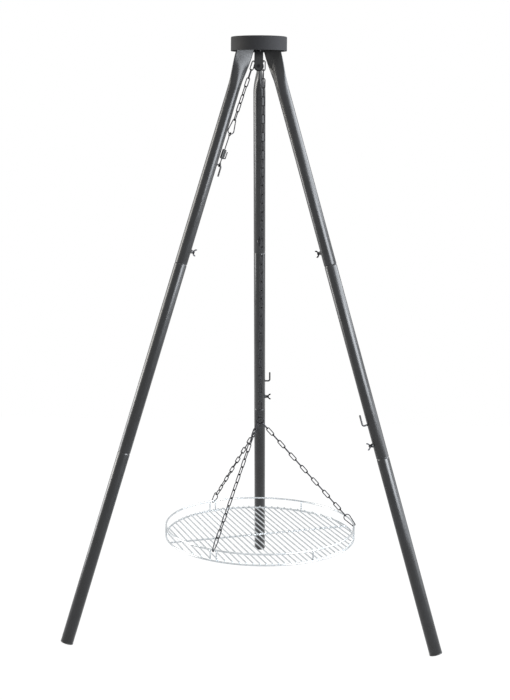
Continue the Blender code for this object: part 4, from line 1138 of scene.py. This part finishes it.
def pulley_wheel():
    """Turned wheel with a deep vee groove, rounded at its root and lips."""
    rim, root = WHEEL_DIAMETER / 2, WHEEL_ROOT_DIAMETER / 2
    half, bore = WHEEL_WIDTH / 2, WHEEL_BORE / 2
    side = [(bore, half), (rim, half), (rim, half - WHEEL_LIP), (root, WHEEL_ROOT_WIDTH / 2)]
    outline = [(r, 0, -z) for r, z in side] + [(r, 0, z) for r, z in reversed(side)]
    profile = [(p.x, p.z) for p in softened(outline, WHEEL_SOFTNESS, 3, True)]
    place = Matrix.Translation(WHEEL_CENTRE) @ Matrix.Rotation(math.radians(90), 4, "X")
    mesh = turned(profile, 64, True)
    piece("pulley_wheel_turned", mesh, ZINC, "pulley", place, "pulley_wheel")


def head_and_pulley():
    head_cover()
    pulley_wheel()
    for side in SIDES:
        eased(f"leg_bracket_{side}", POWDER, 0.35 * MM)
        eased(f"pivot_bolt_{side}", ZINC, 0.5 * MM)
    eased("pulley_strap", POWDER, 0.45 * MM)
    eased("pulley_stud", ZINC, 0.4 * MM)
    eased("pulley_axle", ZINC, 0.5 * MM)


# Grate


def hoop(rod, centre):
    """A closed ring of rod, as wide as the rail."""
    return swept([centre + p for p in circle(RAIL_RADIUS, 0.0, 144)], rod / 2, 12, True)


def grate():
    """Rings, posts and bars of plated rod, spot-welded where they cross."""
    ring = hoop(RING_ROD, GRATE_RING)
    piece("grate_ring_rod", ring, NICKEL, "grate", None, "grate_ring")
    rail = hoop(RAIL_ROD, RAIL)
    pair = math.degrees(PAIR_SPACING / 2 / POST_RADIUS)
    bearings = list(SINGLE_BEARINGS)
    for bearing in HANG_BEARINGS.values():
        bearings += [bearing - pair, bearing + pair]
    # The middle of the plane that the posts and bars stand on
    floor = Vector((RAIL.x, RAIL.y, GRATE_RING.z + RING_ROD / 2 + CLEARANCE))
    welds = []
    for bearing in bearings:
        foot = floor + polar(POST_RADIUS, bearing)
        head = Vector((foot.x, foot.y, RAIL.z))
        swept([foot, foot.lerp(head, 0.5), head], POST_ROD / 2, into=rail)
        welds += [foot, head]
    piece("grate_rail_rod", rail, NICKEL, "grate", None, "grate_rail")

    way = polar(1.0, BAR_BEARING)
    beside = UP.cross(way)
    values = {"Count": BAR_COUNT, "Spacing": BAR_SPACING, "Circle Radius": BAR_END_RADIUS}
    bars = grown("grate_bar_rods", BAR_TREE, {**values, "Rod": BAR_ROD, "Finish": NICKEL})
    # Local Y of this placement runs along the bars
    bars.transform(frame_of(beside, UP, floor + UP * (BAR_ROD / 2)))
    finish_mesh(bars, NICKEL, "grate", "grate_bars", 50)
    reach = RAIL_RADIUS - RING_ROD / 2 - CLEARANCE - CROSS_ROD / 2 * DOME_RISE
    middle = floor + UP * (CROSS_SUNK - CROSS_ROD / 2)
    cross = swept([middle - beside * reach, middle, middle + beside * reach], CROSS_ROD / 2, 14)
    piece("grate_cross_rod", cross, NICKEL, "grate")
    for i in range(BAR_COUNT):
        offset = (i - (BAR_COUNT - 1) / 2) * BAR_SPACING
        chord = math.sqrt(RAIL_RADIUS**2 - offset**2)
        at = floor + beside * offset
        welds.append(at)
        if chord < BAR_END_RADIUS:
            to_weld = way * (chord - WELD_FROM_END)
            welds += [at + to_weld, at - to_weld]
    spots = grown("grate_weld_spots", WELD_TREE, {**WELD_SPOT, "Finish": NICKEL}, welds)
    finish_mesh(spots, NICKEL, "grate", None, 60)


# Floor, light and camera


def seen_by_eye(tree):
    """1 for the camera, for reflections and through glass, and 0 for light on the object."""
    rays = add(tree, "ShaderNodeLightPath").outputs
    inputs = {0: rays["Is Camera Ray"], 1: rays["Is Glossy Ray"]}
    seen = add(tree, "ShaderNodeMath", inputs, operation="MAXIMUM")
    inputs = {0: seen, 1: rays["Is Transmission Ray"]}
    return add(tree, "ShaderNodeMath", inputs, operation="MAXIMUM")


def white_floor():
    """White backdrop paper. The camera and reflections see it near white, with its shadow."""
    made = bpy.data.materials.new("white_backdrop_paper")
    tree = emptied(made)
    paper = add(tree, "ShaderNodeBsdfDiffuse", {"Color": srgb("#f4f4f4")})
    glow = add(tree, "ShaderNodeEmission", {"Color": srgb("#ffffff"), "Strength": PAPER_GLOW})
    share = add(tree, "ShaderNodeMath", {0: seen_by_eye(tree), 1: GLOW_SHARE}, operation="MULTIPLY")
    both = add(tree, "ShaderNodeMixShader", {"Fac": share, 1: paper, 2: glow})
    add(tree, "ShaderNodeOutputMaterial", {"Surface": both})
    mesh = bmesh.new()
    bmesh.ops.create_grid(mesh, x_segments=1, y_segments=1, size=FLOOR_HALF)
    data = settled("floor", mesh)
    data.materials.append(made)
    in_scene("floor", data)


def world():
    """White all round for the camera and for reflections, and a soft fill for the rest."""
    made = bpy.data.worlds.new("white_studio")
    bpy.context.scene.world = made
    tree = emptied(made)
    inputs = {0: seen_by_eye(tree), 1: 1.0 - WORLD_LIGHT, 2: WORLD_LIGHT}
    strength = add(tree, "ShaderNodeMath", inputs, operation="MULTIPLY_ADD")
    sky = add(tree, "ShaderNodeBackground", {"Color": srgb("#ffffff"), "Strength": strength})
    add(tree, "ShaderNodeOutputWorld", {"Surface": sky})


def softbox(name, place, aim, size, power, colour="#ffffff"):
    light = bpy.data.lights.new(name, "AREA")
    light.shape = "RECTANGLE"
    light.size, light.size_y = size
    light.energy = power
    light.color = srgb(colour)[:3]
    made = in_scene(name, light)
    made.location = place
    made.rotation_euler = (Vector(aim) - Vector(place)).to_track_quat("-Z", "Y").to_euler()


def lights():
    softbox("front_right", (1.85, -1.65, 1.2), (-0.1, -0.25, 1.2), (1.5, 1.0), 72, "#edf2f8")
    softbox("side_right", (4.3, -0.3, 2.8), (0.1, -0.2, 1.2), (6.4, 1.9), 390, "#edf2f8")
    softbox("low_right", (2.3, -0.2, 0.45), (0.0, 0.1, 1.0), (1.8, 0.8), 17, "#edf2f8")
    softbox("side_left", (-2.4, 0.05, 1.6), (0.0, 0.0, 1.6), (1.2, 1.8), 62, "#faf7f0")
    softbox("low_left", (-2.3, 0.25, 0.45), (0.0, 0.1, 1.1), (1.0, 0.8), 20)
    softbox("overhead", (0.0, -1.0, 3.6), (0.0, -0.1, 0.6), (2.4, 2.4), 20)


def camera():
    data = bpy.data.cameras.new("camera")
    width, height = PICTURE_SIZE
    data.sensor_width = SENSOR
    data.lens = FOCAL_PIXELS * SENSOR / max(PICTURE_SIZE)
    data.shift_x = (width / 2 - PRINCIPAL_PIXEL[0]) / max(PICTURE_SIZE)
    data.shift_y = (PRINCIPAL_PIXEL[1] - height / 2) / max(PICTURE_SIZE)
    made = in_scene("camera", data)
    forward = CAMERA_HEADING.normalized() * math.cos(CAMERA_PITCH) + DOWN * math.sin(CAMERA_PITCH)
    side = forward.cross(UP).normalized()
    turn = Matrix((side, side.cross(forward), -forward)).transposed().to_4x4()
    made.matrix_world = (
        Matrix.Translation(AXIS + CAMERA_OFFSET) @ turn @ Matrix.Rotation(CAMERA_ROLL, 4, "Z")
    )
    bpy.context.scene.camera = made


def main():
    legs()
    head_and_pulley()
    tail_chain()
    tail_snap()
    handle_wire()
    handle_grip()
    parking_hook()
    lift_chain()
    hub_ring()
    branches()
    grate()
    white_floor()
    world()
    lights()
    camera()
    bpy.context.scene.view_settings.view_transform = "Standard"


main()
bpy.context.view_layer.update()
